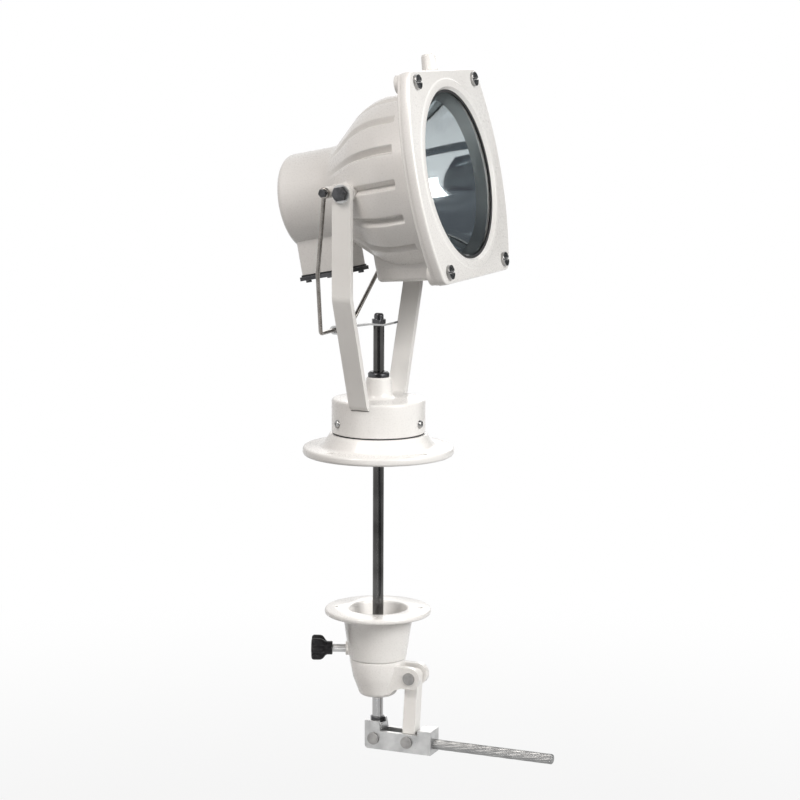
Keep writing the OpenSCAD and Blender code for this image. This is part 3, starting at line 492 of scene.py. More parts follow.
def bell_radius(x):
    """Outer radius at station x: a straight mouth, a round shoulder of radius S that falls as
    sqrt(S^2 - t^2) and a cone, run softly into the drum's radius by half of a + b + sqrt((a - b)^2 + k^2),
    less its swell where the two meet."""
    x = np.asarray(x, float)
    fall = np.clip(SHOULDER_X + SHOULDER_RUN - x, 0, SHOULDER_R)
    arc = BELL_R - SHOULDER_R + np.sqrt(SHOULDER_R ** 2 - fall ** 2)
    cone = BELL_R - (SHOULDER_X - x) * math.tan(BELL_SLOPE)
    bell = np.where(x > SHOULDER_X - SHOULDER_RUN * math.cos(BELL_SLOPE), arc, cone)
    soft = 8 * MM
    blended = (bell + DRUM_R + np.sqrt((bell - DRUM_R) ** 2 + soft ** 2)) / 2
    return blended - soft ** 2 / 4 / np.hypot(bell - DRUM_R, soft)


SIDE_REACH = FRAME_HALF_W - CORNER_R
SIDE_CENTRE = (SIDE_REACH ** 2 - CORNER_Y ** 2 - SCREW_Z ** 2) / (2 * (SIDE_REACH - CORNER_Y))
SIDE_TURN = math.atan2(SCREW_Z, CORNER_Y - SIDE_CENTRE)
ON_SIDE, ON_CORNER, ON_FLAT = 64, 22, 40


def barrel_points(inset):
    """Points (y, z) round the frame's outline, moved inwards by inset: corner arcs about the corner
    centres, flat top and bottom, and sides that are long arcs about a centre on the far side of the beam.
    The second half is the first one turned by half a turn."""
    corner = CORNER_R - inset
    side = FRAME_HALF_W - inset - SIDE_CENTRE

    def arc(y, z, radius, start, end, count):
        turn = np.linspace(start, end, count, endpoint=False)
        return np.stack([y + radius * np.cos(turn), z + radius * np.sin(turn)], 1)

    high = SCREW_Z + corner
    half = np.concatenate([
        arc(SIDE_CENTRE, 0, side, -SIDE_TURN, SIDE_TURN, ON_SIDE),
        arc(CORNER_Y, SCREW_Z, corner, SIDE_TURN, math.pi / 2, ON_CORNER),
        np.linspace((CORNER_Y, high), (-CORNER_Y, high), ON_FLAT, endpoint=False),
        arc(-CORNER_Y, SCREW_Z, corner, math.pi / 2, math.pi - SIDE_TURN, ON_CORNER),
    ])
    return np.concatenate([half, -half])


OUTLINE = barrel_points(0)
UNIT_RING = OUTLINE / np.linalg.norm(OUTLINE, axis=1, keepdims=True)


def lamp_rows(rows):
    """Rows of (station, points across the beam) as one grid in the row's frame."""
    return lamp_to_row(np.stack([np.column_stack([np.full(len(p), x), p]) for x, p in rows]))


# Half the section of a V-shaped flute: parts of its half width, and the part of its depth at each

FLUTE_STEPS = np.array([0, 0.10, 0.20, 0.50, 0.80, 0.92, 1.0, 1.10])
FLUTE_SHAPE = np.array([1, 0.97, 0.87, 0.52, 0.17, 0.05, 0.01, 0])
LAND_COLUMNS = 6


def flute_columns(radius):
    """Angles round one row, and how deep the flute is at each. The columns crowd in the flutes, which
    keep their width on every radius."""
    walls = FLUTE_STEPS * FLUTE_W / 2 / radius
    land = np.linspace(walls[-1], math.pi / FLUTES, LAND_COLUMNS + 1)[1:]
    half = np.concatenate([walls, land])
    shape = np.concatenate([FLUTE_SHAPE, np.zeros(LAND_COLUMNS)])
    one = np.concatenate([-half[-2:0:-1], half])
    deep = np.concatenate([shape[-2:0:-1], shape])
    starts = 2 * math.pi / FLUTES * np.arange(FLUTES)
    return (starts[:, None] + one[None]).ravel(), np.tile(deep, FLUTES)


def bell_shell():
    """The bell and drum as rows of points round the beam, (x, r cos a, r sin a): the rim's seat, a fillet
    from the flange down to the bell, the bell less its flutes, the drum, and back along the inside."""
    seat = ((-2, 120), (-2, 125.3), (-0.1, 125.3), (-0.1, 131))
    rows = [(FRAME_BACK + x * MM, r * MM, 0) for x, r in seat]
    fillet = 4 * MM
    for a in np.linspace(0, math.pi / 2, 7):
        rows.append((FLANGE_BACK - fillet * (1 - math.cos(a)), BELL_R + fillet * (1 - math.sin(a)), 0))
    step = np.array([0.7, 0.3, -0.3, -0.7]) * MM
    stations = np.concatenate([
        np.linspace(FLANGE_BACK - fillet - 2 * MM, FLUTE_FRONT + 2 * MM, 7),
        FLUTE_FRONT + step,
        np.linspace(FLUTE_FRONT - 2 * MM, BELL_REAR + 10 * MM, 62),
        np.linspace(BELL_REAR + 8 * MM, BELL_REAR - 16 * MM, 16),
    ])
    opened = np.interp(FLUTE_FRONT - stations, -step, [0, 0.1, 0.9, 1])
    fade = np.clip((stations - BELL_REAR) / FLUTE_FADE, 0, 1)
    rows += list(zip(stations, bell_radius(stations), FLUTE_DEPTH * opened * fade))
    drum_edge = 10 * MM
    for a in np.linspace(0, math.pi / 2, 9):
        inset = drum_edge * (1 - math.cos(a))
        rows.append((DRUM_BACK + drum_edge * (1 - math.sin(a)), DRUM_R - inset, 0))
    rows += [(DRUM_BACK, r * MM, 0) for r in (45, 30, 15, 0)]
    back = DRUM_BACK + 8 * MM
    rows += [(back, 0, 0), (back, DRUM_R - DRUM_WALL, 0)]
    inside = rounded([(61, -44, 0), (115, 24, 90), (115, 83, 0), (120, 88, 0)], 8) * MM
    rows += [(x, r, 0) for r, x in inside]
    grid = []
    for x, radius, flute in rows:
        turn, deep = flute_columns(max(radius, DRUM_R - 4 * MM))
        r = radius - flute * deep
        grid.append(np.stack([np.full_like(turn, x), r * np.cos(turn), r * np.sin(turn)], 1))
    return lamp_to_row(np.stack(grid))


def flange_plate():
    """The plate behind the front frame: a ring from inside the bell's wall out to the barrel outline,
    with a round rear edge."""
    edge = 2 * MM
    inner = UNIT_RING * 126.5 * MM
    rows = [(FRAME_BACK, inner), (FRAME_BACK, barrel_points(FLANGE_INSET + 0.5 * MM))]
    rows += [(FRAME_BACK - 0.5 * MM, barrel_points(FLANGE_INSET))]
    for a in np.linspace(0, math.pi / 2, 7):
        inset = FLANGE_INSET + edge * (1 - math.cos(a))
        rows.append((FLANGE_BACK + edge * (1 - math.sin(a)), barrel_points(inset)))
    return lamp_rows(rows + [(FLANGE_BACK, inner)])


def boss(place, side, foot_y, reach, radius, flare):
    """A round boss along Y whose foot spreads by flare where it leaves the bell."""
    height = np.linspace(0, 1, 9)
    foot, root = 7 * MM, 12 * MM
    spread = radius + flare * (1 - np.sqrt(1 - (1 - height) ** 2))
    profile = [(0, foot_y - root), (radius + flare, foot_y - root)]
    profile += [(r, foot_y + foot * h) for r, h in zip(spread, height)]
    profile += [(radius, reach - 0.8 * MM), (radius - 0.25 * MM, reach - 0.2 * MM)]
    profile += [(radius - 0.9 * MM, reach), (0, reach)]
    origin = (place[0], 0, place[1])
    return lamp_to_row(lathe(np.array(profile), origin, (0, side, 0), 64))


def box_outline(low, high, corner, inset, columns=10):
    """A rectangle in plan with round corners, moved inwards by inset."""
    (x0, y0), (x1, y1) = low, high
    r = max(corner - inset, 0.05 * MM)
    box = [
        (x0 + inset, y0 + inset, r), (x1 - inset, y0 + inset, r),
        (x1 - inset, y1 - inset, r), (x0 + inset, y1 - inset, r),
    ]
    return rounded(box, columns, True)


def rim_steps(edge, count=5):
    """How far in and how far up a round edge is, from its foot to its full width."""
    turn = np.linspace(0, math.pi / 2, count)
    return list(zip(edge * (1 - np.sin(turn)), edge * (1 - np.cos(turn))))


def terminal_box():
    """The box under the drum: one rounded outline carried upwards, with softened edges."""
    low, high, corner, edge = (-125 * MM, -43 * MM), (-60 * MM, 43 * MM), 5 * MM, 0.6 * MM
    bottom, top = -104 * MM, -40 * MM
    levels = [(inset, bottom + up) for inset, up in rim_steps(edge)] + [(0, top)]
    rings = [box_outline(low, high, corner, inset) for inset, _ in levels]
    grid = [np.column_stack([ring, np.full(len(ring), z)]) for ring, (_, z) in zip(rings, levels)]
    poles = [np.tile([(low[0] + high[0]) / 2, 0, z], (len(rings[0]), 1)) for z in (bottom, top)]
    return lamp_to_row(np.stack([poles[0], *grid, poles[1]]))


def lower_box():
    """The box under the bell: a rounded outline whose floor falls forwards in a straight line, with a
    round bottom edge, carried up to a face that lies within the bell's wall at -sqrt(r^2 - y^2)."""
    low, high, corner, edge = (-3.6 * MM, -57 * MM), (110 * MM, 57 * MM), 7 * MM, 6 * MM
    rear_depth, fall, sunk = 130.7 * MM, math.tan(math.radians(6.6)), 3 * MM
    middle = np.array([(low[0] + high[0]) / 2, 0])

    def floor(plan):
        return -rear_depth - (plan[:, 0] - low[0]) * fall

    def roof(plan):
        return -np.sqrt((bell_radius(plan[:, 0]) - sunk) ** 2 - plan[:, 1] ** 2)

    outline = box_outline(low, high, corner, 0)
    foot = box_outline(low, high, corner, edge)
    plans = [(middle + (foot - middle) * part, 0) for part in (0, 0.5)]
    plans += [(box_outline(low, high, corner, inset), up) for inset, up in rim_steps(edge, 7)]
    rows = [np.column_stack([plan, floor(plan) + up]) for plan, up in plans]
    shrunk = [middle + (outline - middle) * part for part in (1, 0.66, 0.33, 0)]
    rows += [np.column_stack([plan, roof(plan)]) for plan in shrunk]
    return lamp_to_row(np.stack(rows))


def housing_surfaces():
    """The casting's bell, flange plate, lugs, bosses and boxes, each a closed surface that runs into the
    bell."""
    surfaces = [(bell_shell(), True, True), (flange_plate(), True, True)]
    lug = np.array([
        (0, LUG_BACK), (LUG_R - 1 * MM, LUG_BACK), (LUG_R - 0.3 * MM, LUG_BACK + 0.3 * MM),
        (LUG_R, LUG_BACK + 1 * MM), (LUG_R, FLANGE_BACK + 1 * MM), (0, FLANGE_BACK + 1 * MM),
    ])
    for y in (-CORNER_Y, CORNER_Y):
        for z in (-SCREW_Z, SCREW_Z):
            surfaces.append((lamp_to_row(lathe(lug, (0, y, z), (1, 0, 0), 56)), False, True))
    for side in SIDES:
        tilt_boss = boss(
            (0, 0), side, foot_y=106 * MM, reach=119.5 * MM, radius=14 * MM, flare=2.5 * MM
        )
        bail_boss = boss(
            BAIL_PLACE, side, foot_y=84 * MM, reach=122.7 * MM, radius=8 * MM, flare=3 * MM
        )
        surfaces += [(tilt_boss, False, True), (bail_boss, False, True)]
    vent_boss = np.array([(0, 120), (6, 120), (6, 148.5), (5.5, 149), (0, 149)]) * MM
    surfaces.append((lamp_to_row(lathe(vent_boss, (VENT_X, 0, 0), (0, 0, 1), 40)), False, True))
    return surfaces + [(terminal_box(), False, True), (lower_box(), False, True)]


housing_mesh = closed_mesh("lamp_housing_skin", housing_surfaces())
add_piece(housing_mesh, "lamp", WHITE, ["lamp_housing"], 40)

# Front frame


def frame_shell():
    """The front frame as rows round the beam: the lens seat, the bevelled opening, a low raised lip round
    it, the flat front, and a rounded outer edge that follows the barrel outline."""
    edge = 3 * MM
    seat_x = FRAME_BACK + 9 * MM
    lip = 1.2 * MM
    circles = [
        (FRAME_BACK, 133), (seat_x, 133), (seat_x, 120.2), (seat_x + 0.4 * MM, 120.1),
        (FRONT_X - 0.6 * MM, 122.4), (FRONT_X + lip - 0.5 * MM, 123), (FRONT_X + lip - 0.1 * MM, 123.4),
        (FRONT_X + lip, 124), (FRONT_X + lip, 133.5), (FRONT_X + lip - 0.2 * MM, 134.2),
        (FRONT_X + 0.15 * MM, 135.4), (FRONT_X, 136.2),
    ]
    rows = [(x, UNIT_RING * r * MM) for x, r in circles]
    for a in np.linspace(0, math.pi / 2, 8):
        rows.append((FRONT_X - edge * (1 - math.cos(a)), barrel_points(edge * (1 - math.sin(a)))))
    rows += [(FRAME_BACK + 0.7 * MM, barrel_points(0)), (FRAME_BACK + 0.2 * MM, barrel_points(0.2 * MM))]
    return lamp_rows(rows + [(FRAME_BACK, barrel_points(0.7 * MM))])


frame_mesh = closed_mesh("front_frame_skin", [(frame_shell(), True, True)])
add_piece(frame_mesh, "lamp", WHITE, ["front_frame"])

# Lens, reflector and bulb


def turned(name, profile, body, material, nodes, columns=96, in_lamp=True, wrap=True, angle=32):
    """A piece turned about the beam, or about the rod, from (radius, station) points in millimetres."""
    axis = (1, 0, 0) if in_lamp else (0, 0, 1)
    grid = lathe(np.array(profile, float) * MM, (0, 0, 0), axis, columns)
    if in_lamp:
        grid = lamp_to_row(grid)
    return add_piece(closed_mesh(name, [(grid, wrap, True)]), body, material, nodes, angle)


lens_profile = [(0, 117.5), (129, 117.5), (129.8, 118), (130, 118.6), (130, 121.6), (129.7, 122.2)]
lens_profile += [(129, 122.5)]
lens_profile += [(r, 122.5 + 1.4 * (1 - (r / 116) ** 2)) for r in np.linspace(116, 0, 24)]
turned("lens_glass_skin", lens_profile, "lamp", GLASS, ["lens_glass"], 192, wrap=False)
gasket_profile = [
    (124, 115), (132.8, 115), (132.8, 124), (117, 124), (116.2, 123.8), (116, 123.3), (116.2, 122.9),
    (117, 122.6), (130.1, 122.5), (130.1, 117.5), (124, 117.5),
]
turned("lens_gasket_skin", gasket_profile, "lamp", RUBBER, ["lens_gasket"], 192)
bowl = np.linspace(15, 118, 48)
station = REFLECTOR_BASE + bowl ** 2 / PARABOLA
mirror_rim = [(119, 114.6), (120, 115), (124.6, 115), (125, 114.6), (125, 113.6), (119.5, 113.4)]
mirror_profile = [*zip(bowl, station), *mirror_rim, *zip(bowl[::-1], station[::-1] - 1.5)]
turned("reflector_skin", mirror_profile, "lamp", MIRROR, ["reflector"], 192)
globe_r, neck_r = 17, 9
globe_turn = np.linspace(math.asin(neck_r / globe_r) - math.pi / 2, math.pi / 2, 28)
globe = [(max(0, globe_r * math.cos(a)), FOCUS + globe_r * math.sin(a)) for a in globe_turn]
bulb_profile = [(0, REFLECTOR_BASE - 4), (8.6, REFLECTOR_BASE - 4), (8.8, REFLECTOR_BASE + 10)] + globe
turned("bulb_globe", bulb_profile, "lamp", BULB_GLASS, ["lamp_bulb"], 64, wrap=False)
cap_profile = [(0, REFLECTOR_BASE - 18), (8.4, REFLECTOR_BASE - 18), (9, REFLECTOR_BASE - 17.4)]
cap_profile += [(9, REFLECTOR_BASE + 6.5), (8.9, REFLECTOR_BASE + 7.5), (0, REFLECTOR_BASE + 7.5)]
turned("bulb_cap", cap_profile, "lamp", ZINC, [], 48, wrap=False)


def filament_wires():
    """A coil, (f + r cos w, y, r sin w) along Y at the focus, and two bent leads from the cap to its
    ends."""
    coil_r, coil_length, windings = 1.4, 12, 9
    coil = np.linspace(0, 1, 160)
    turn = 2 * math.pi * windings * coil
    coil_path = np.stack(
        [FOCUS + coil_r * np.cos(turn), coil_length * (coil - 0.5), coil_r * np.sin(turn)], 1
    ) * MM
    wires = [(lamp_to_row(tube(coil_path, 0.35 * MM, 8)), False, True)]
    for side in SIDES:
        points = (
            (REFLECTOR_BASE + 5, 3 * side, 0),
            (FOCUS - 8, 5 * side, 0),
            (FOCUS + coil_r, coil_length / 2 * side, 0),
        )
        lead = smooth_path([(np.array(p) * MM, 2 * MM) for p in points], 12)
        wires.append((lamp_to_row(tube(lead, 0.5 * MM, 8)), False, True))
    return wires


add_piece(closed_mesh("bulb_filament", filament_wires()), "lamp", FILAMENT)
holder_profile = [
    (0, -26), (12, -26), (14, -25), (14.8, -23), (14.8, 4), (21, 4), (22, 5), (22, 10.6), (21, 11.6),
    (14.8, 10.2), (14.8, 14.4), (14.2, 15), (9.1, 15), (9.1, -8), (0, -8),
]
turned("lamp_holder_skin", holder_profile, "lamp", CERAMIC, ["lamp_holder"], 72, wrap=False)

# Bolts, nuts and turned pieces


def hex_solid(base, direction, across, height, spin=0.0, bore=0.0, both=False):
    """A hexagon across its flats, with its corners cut by a 30 degree cone at the top, and at the foot
    too for a nut. The radius at an angle is a / cos of the angle from the nearest flat."""
    turn = np.linspace(0, 2 * math.pi, 72, endpoint=False)
    flat = across / 2
    face_r = 0.97 * flat
    hexagon = flat / np.cos((turn - spin) % (math.pi / 3) - math.pi / 6)
    slope = math.tan(math.radians(30))
    chamfer = (flat / math.cos(math.pi / 6) - face_r) * slope
    levels = [0, chamfer / 2, chamfer, height - chamfer, height - chamfer / 2, height]
    cone = [face_r + min(h if both else height, height - h) / slope for h in levels]
    radii = [bore + 0 * turn] + [np.minimum(hexagon, c) for c in cone] + [bore + 0 * turn]
    heights = [0, *levels, height]
    grid = np.stack([
        np.stack([r * np.cos(turn), r * np.sin(turn), np.full_like(turn, h)], 1)
        for r, h in zip(radii, heights)
    ])
    return grid @ axes_for(direction).T + np.array(base, float)


def pin(base, direction, radius, length, edge, columns=40):
    """A round pin with softened ends."""
    profile = [(0, 0), (radius - edge, 0), (radius - 0.3 * edge, 0.3 * edge), (radius, edge)]
    profile += [(r, length - h) for r, h in profile[::-1]]
    return lathe(np.array(profile), base, direction, columns)


def bolts(node, body, places, across, height, shank, length, in_lamp=True):
    """Dark hexagon bolts at places (base of head, direction), each with its shank."""
    surfaces = []
    for base, direction in places:
        base, away = np.array(base, float), np.array(direction, float)
        spin = math.pi / 6 if abs(away[2]) > 0.9 else 0
        pair = [
            hex_solid(base, away, across, height, spin),
            pin(base - away * length, away, shank, length + height / 2, 0.4 * MM),
        ]
        surfaces += [(lamp_to_row(g) if in_lamp else g, False, True) for g in pair]
    return add_piece(closed_mesh(node + "_skin", surfaces), body, DARK, [node])


tilt_places = [((0, s * 133.9 * MM, 0), (0, s, 0)) for s in SIDES]
bail_places = [((BAIL_PLACE[0], s * 129.8 * MM, BAIL_PLACE[1]), (0, s, 0)) for s in SIDES]
cover_places = [((x * MM, y * MM, -112 * MM), (0, 0, -1)) for x in (-118, -67) for y in (-36, 36)]
arm_places = [((x * MM, y * MM, 65 * MM), (0, 0, -1)) for x in (-8, 8) for y in (-46, 46)]
bolts("tilt_bolts", "lamp", tilt_places,
      across=19 * MM, height=7.5 * MM, shank=6 * MM, length=29.9 * MM)
bolts("bail_screws", "lamp", bail_places,
      across=11 * MM, height=4.2 * MM, shank=3 * MM, length=21.1 * MM)
bolts("terminal_bolts", "lamp", cover_places,
      across=8 * MM, height=3.5 * MM, shank=2.5 * MM, length=20 * MM)
bolts("arm_bolts", "turntable", arm_places,
      across=10 * MM, height=4 * MM, shank=3 * MM, length=13.4 * MM, in_lamp=False)


def button_screws():
    """Round-headed screws that point in at the rod: a shank, and a domed head with a round recess, turned
    about a line out from the rod."""
    dome = np.linspace(0.15, 1.1, 8)
    profile = [(0, 51), (3.1, 51), (3.5, 51.4), (3.5, 68), (6.0, 68), (6.2, 68.3)]
    profile += [(6.2 * math.cos(a), 68.2 + 4.2 * math.sin(a)) for a in dome]
    profile += [(2.1, 72), (1.9, 71.7), (1.9, 70.2), (0, 70.2)]
    profile = np.array(profile) * MM
    surfaces = []
    for turn in np.radians((-6, 114, 234)):
        outward = (math.cos(turn), math.sin(turn), 0)
        surfaces.append((lathe(profile, (0, 0, RETAINING_SCREW_Z), outward, 48), False, True))
    return surfaces


screw_mesh = closed_mesh("retaining_screws_skin", button_screws())
add_piece(screw_mesh, "turntable", SCREW_STEEL, ["retaining_screws"])

strip_hex = hex_solid((0, 0, STRIP_TOP), (0, 0, 1), 19 * MM, 6.5 * MM, math.pi / 6, 0, True)
cap_nut = [(0, 5.5), (6.9, 5.5)]
cap_nut += [(2.9 + 4 * math.cos(a), 11 + 4 * math.sin(a)) for a in np.linspace(0, math.pi / 2, 9)]
cap_nut += [(0, 15)]
strip_cap = lathe(np.array(cap_nut) * MM, (0, 0, STRIP_TOP), (0, 0, 1), 56)
strip_mesh = closed_mesh("strip_nut_skin", [(strip_hex, False, True), (strip_cap, False, True)])
add_piece(strip_mesh, "control_rod", DARK, ["strip_nut"])
lock_nut = hex_solid((0, 0, ROD_NUT_Z), (0, 0, 1), 20 * MM, 8 * MM, math.pi / 6, 8.02 * MM, True)
lock_nut_mesh = closed_mesh("rod_lock_nut_skin", [(lock_nut, True, True)])
add_piece(lock_nut_mesh, "control_rod", DARK, ["rod_lock_nut"])

gland_profile = [
    (8.4, 110), (10.9, 110), (10.9, 113), (15, 113), (15.5, 113.6), (15.5, 117.8), (15.2, 118.6),
    (13.2, 120.6), (12.4, 121), (9.2, 121), (8.4, 120.4),
]
turned("gland_nut_skin", gland_profile, "turntable", DARK, ["gland_nut"], 72,
       in_lamp=False)

vent = [(0, 139), (4, 139), (4, 149), (11.6, 149), (12, 149.4), (12, 151.4), (11.7, 152)]
vent += [(6 + 4 * math.cos(a), 169 + 4 * math.sin(a)) for a in np.linspace(0.1, math.pi / 2, 9)]
vent += [(0, 173)]
vent_grid = lamp_to_row(lathe(np.array(vent) * MM, (VENT_X, 0, 0), (0, 0, 1), 72))
vent_mesh = closed_mesh("vent_plug_skin", [(vent_grid, False, True)])
add_piece(vent_mesh, "lamp", WHITE, ["vent_plug"])

# Bail, handle and knob


def bail_wire():
    """One wire from eye to eye: straight runs with round bends at the kinks and corners, and a ring at
    each end."""
    eye, kink, corner = np.array([(-28, 126.5, 385), (-43, 116, 270), (-68, 52, 178)]) * MM
    flip = np.array([1, -1, 1])
    start = eye + (kink - eye) / np.linalg.norm(kink - eye) * 5 * MM
    run = [(start, 0), (kink, 22 * MM), (corner, 11 * MM)]
    run += [(point * flip, bend) for point, bend in run[::-1]]
    surfaces = [(tube(smooth_path(run, 150), 3 * MM, 24), False, True)]
    eye_ring = rounded([(3.1, -3, 0.8), (8, -3, 2.4), (8, 3, 2.4), (3.1, 3, 0.8)], 5, True) * MM
    for s in SIDES:
        surfaces.append((lathe(eye_ring, eye * np.array([1, s, 1]), (0, s, 0), 48), True, True))
    return surfaces


bail_mesh = closed_mesh("tilt_bail_skin", bail_wire())
add_piece(bail_mesh, "tilt_bail", WIRE, ["tilt_bail"], 50)


def twisted_handle():
    """A bar whose outline r = r0 - f + f cos(n a) turns part of the way round along its length, with the
    columns of the grid along its flutes, a tip that shrinks as a quarter of an ellipse to a flat end,
    and a plain shank in the lever."""
    start, length, radius = 91 * MM, 184 * MM, 7.5 * MM
    flute, flutes, turns = 0.35 * MM, 12, 0.62
    tip, end_share = 3 * MM, 0.55
    tip_turn = np.linspace(0.2, math.pi / 2, 8)
    s = np.concatenate([np.linspace(0, length - tip, 220), length - tip * (1 - np.sin(tip_turn))])
    into_tip = ((s - length + tip) / tip).clip(0, 1)
    shrink = np.sqrt(np.clip(1 - into_tip ** 2, 0, 1)) * (1 - end_share) + end_share
    turn = np.linspace(0, 2 * math.pi, 144, endpoint=False)
    r = (radius - flute + flute * np.cos(flutes * turn))[None] * shrink[:, None]
    a = turn[None] - 2 * math.pi * turns * (s / length)[:, None]
    bar = np.stack([np.broadcast_to((start + s)[:, None], r.shape), r * np.cos(a), r * np.sin(a)], -1)
    ends = [np.broadcast_to([start + s[i], 0, 0], (1, len(turn), 3)) for i in (0, -1)]
    bar = np.concatenate([ends[0], bar, ends[1]])
    shank = pin((start - 16 * MM, 0, 0), (1, 0, 0), 6 * MM, 18 * MM, 0.5 * MM)
    drop = np.array([0, 0, HANDLE_Z])
    return [(bar + drop, False, True), (shank + drop, False, True)]


handle_mesh = closed_mesh("handle_skin", twisted_handle())
add_piece(handle_mesh, "lever", HANDLE_STEEL, ["handle"], 40)


def knob_lobes(turn, profile):
    """Seven lobes: the outer rows shrink between lobes by a power of sin^2(3.5 a)."""
    lobes, valley_depth, neck_r, flare = 7, 0.19, 10.5 * MM, 6 * MM
    valley = (np.sin(lobes / 2 * turn) ** 2) ** 1.5
    outer = np.clip((profile[:, :1] - neck_r) / flare, 0, 1)
    return 1 - valley_depth * outer * valley[None]


knob_profile = [(5.9, 67), (9.4, 67), (10, 67.6), (10, 74), (10.5, 75.6), (12.5, 77.4), (16, 79.8)]
knob_profile += [(18, 82), (18.8, 84.4), (19, 87)]
knob_profile += [(15 + 4 * math.cos(a), 93.4 + 4 * math.sin(a)) for a in np.linspace(0, math.pi / 2, 8)]
knob_profile += [(11, 97.7), (6, 98), (0, 98), (0, 75.8), (5.9, 75.8)]
knob = lathe(np.array(knob_profile) * MM, (0, 0, LOCK_Z), LOCK_AXIS, 140, knob_lobes)
knob_mesh = closed_mesh("lock_knob_skin", [(knob, True, True)])
add_piece(knob_mesh, "lock_knob", PLASTIC, ["lock_knob"])

# Pieces that keep the CAD shape, with softened edges

for node, body, slot, material, bevel in (
    ("roof_flange", "roof_mount", "white_casting", WHITE, 0.7),
    ("ceiling_flange", "roof_mount", "white_casting", WHITE, 0.7),
    ("thrust_washer", "roof_mount", "black_rubber", RUBBER, 0.3),
    ("turntable", "turntable", "white_casting", WHITE, 0.8),
    ("left_yoke_arm", "turntable", "white_bar", WHITE_BAR, 1.2),
    ("right_yoke_arm", "turntable", "white_bar", WHITE_BAR, 1.2),
    ("front_screws", "lamp", "dark_steel", SCREW_STEEL, 1.2),
    ("terminal_gasket", "lamp", "black_rubber", RUBBER, 0.4),
    ("terminal_cover", "lamp", "dark_steel", DARK, 0.9),
    ("terminal_block", "lamp", "insulator", CERAMIC, 0.6),
    ("cable_gland", "lamp", "black_plastic", PLASTIC, 0.5),
    ("tilt_washers", "lamp", "zinc_steel", ZINC, 0.3),
    ("control_rod", "control_rod", "polished_steel", STEEL, 0.3),
    ("tilt_strip", "control_rod", "zinc_steel", ZINC, 0.5),
    ("rod_end", "control_rod", "zinc_steel", ZINC, 0.7),
    ("lever", "lever", "zinc_steel", ZINC, 0.9),
    ("lever_pins", "lever", "zinc_steel", PIN_STEEL, 0.7),
    ("lever_pin_clips", "lever", "dark_steel", DARK, 0.2),
    ("link", "link", "white_bar", WHITE_BAR, 1.4),
    ("control_hub", "control_hub", "white_casting", WHITE, 1.2),
    ("hub_ring", "control_hub", "zinc_steel", ZINC, 0.4),
    ("ear_pin", "control_hub", "zinc_steel", PIN_STEEL, 0.7),
    ("ear_pin_clip", "control_hub", "dark_steel", DARK, 0.2),
    ("lock_screw", "lock_knob", "zinc_steel", ZINC, 0.3),
):
    dressed_copy(node, body, material, bevel * MM)

# Inner nodes that stay as the CAD gives them

for node, material in (
    ("lower_guide_bush", BRONZE), ("upper_guide_bush", BRONZE), ("tilt_bushes", BRONZE),
    ("hub_bush", BRONZE), ("lock_pad", BRONZE), ("gland_packing", RUBBER), ("drive_key", ZINC),
):
    frame["nodes"][node].data.materials.clear()
    frame["nodes"][node].data.materials.append(material)

# Floor, world, light and camera

SQUARE = ((-1, -1), (1, -1), (1, 1), (-1, 1))


def stage_sheet(name, corners, material):
    """A flat sheet of four corners, which belongs to the stage."""
    mesh = bpy.data.meshes.new(name)
    mesh.from_pydata([tuple(corner) for corner in corners], [], [(0, 1, 2, 3)])
    mesh.materials.append(material)
    sheet = bpy.data.objects.new(name, mesh)
    bpy.context.scene.collection.objects.link(sheet)
    return sheet


def seen_rays(nodes, links):
    """A value that is 1 on rays from the camera, from gloss or through glass, and 0 on other rays."""
    rays = nodes.new("ShaderNodeLightPath")
    seen = rays.outputs["Is Camera Ray"]
    for label in ("Is Glossy Ray", "Is Transmission Ray"):
        either = nodes.new("ShaderNodeMath")
        either.operation = "MAXIMUM"
        links.new(seen, either.inputs[0])
        links.new(rays.outputs[label], either.inputs[1])
        seen = either.outputs[0]
    return seen


def pale_floor(span, height):
    """A wide pale floor. As the camera, gloss and glass see it, it is lifted towards white: less near the
    part, where the part's shadow shows, and wholly further off."""
    material, nodes, links = new_material("pale_floor")
    surface = nodes["Principled BSDF"]
    surface.inputs["Base Color"].default_value = (0.30, 0.295, 0.29, 1)
    surface.inputs["Roughness"].default_value = 0.9
    glow = nodes.new("ShaderNodeEmission")
    place = nodes.new("ShaderNodeTexCoord")
    away = nodes.new("ShaderNodeVectorMath")
    away.operation = "LENGTH"
    lift = nodes.new("ShaderNodeMapRange")
    lift.interpolation_type = "SMOOTHSTEP"
    for label, value in (("From Min", 0.6), ("From Max", 2.4), ("To Min", 0.86), ("To Max", 1.0)):
        lift.inputs[label].default_value = value
    share = nodes.new("ShaderNodeMath")
    share.operation = "MULTIPLY"
    blend = nodes.new("ShaderNodeMixShader")
    links.new(place.outputs["Object"], away.inputs[0])
    links.new(away.outputs["Value"], lift.inputs["Value"])
    links.new(lift.outputs["Result"], share.inputs[0])
    links.new(seen_rays(nodes, links), share.inputs[1])
    links.new(share.outputs[0], blend.inputs[0])
    links.new(surface.outputs[0], blend.inputs[1])
    links.new(glow.outputs[0], blend.inputs[2])
    links.new(blend.outputs[0], nodes["Material Output"].inputs["Surface"])
    stage_sheet("floor", [(x * span, y * span, height) for x, y in SQUARE], material)


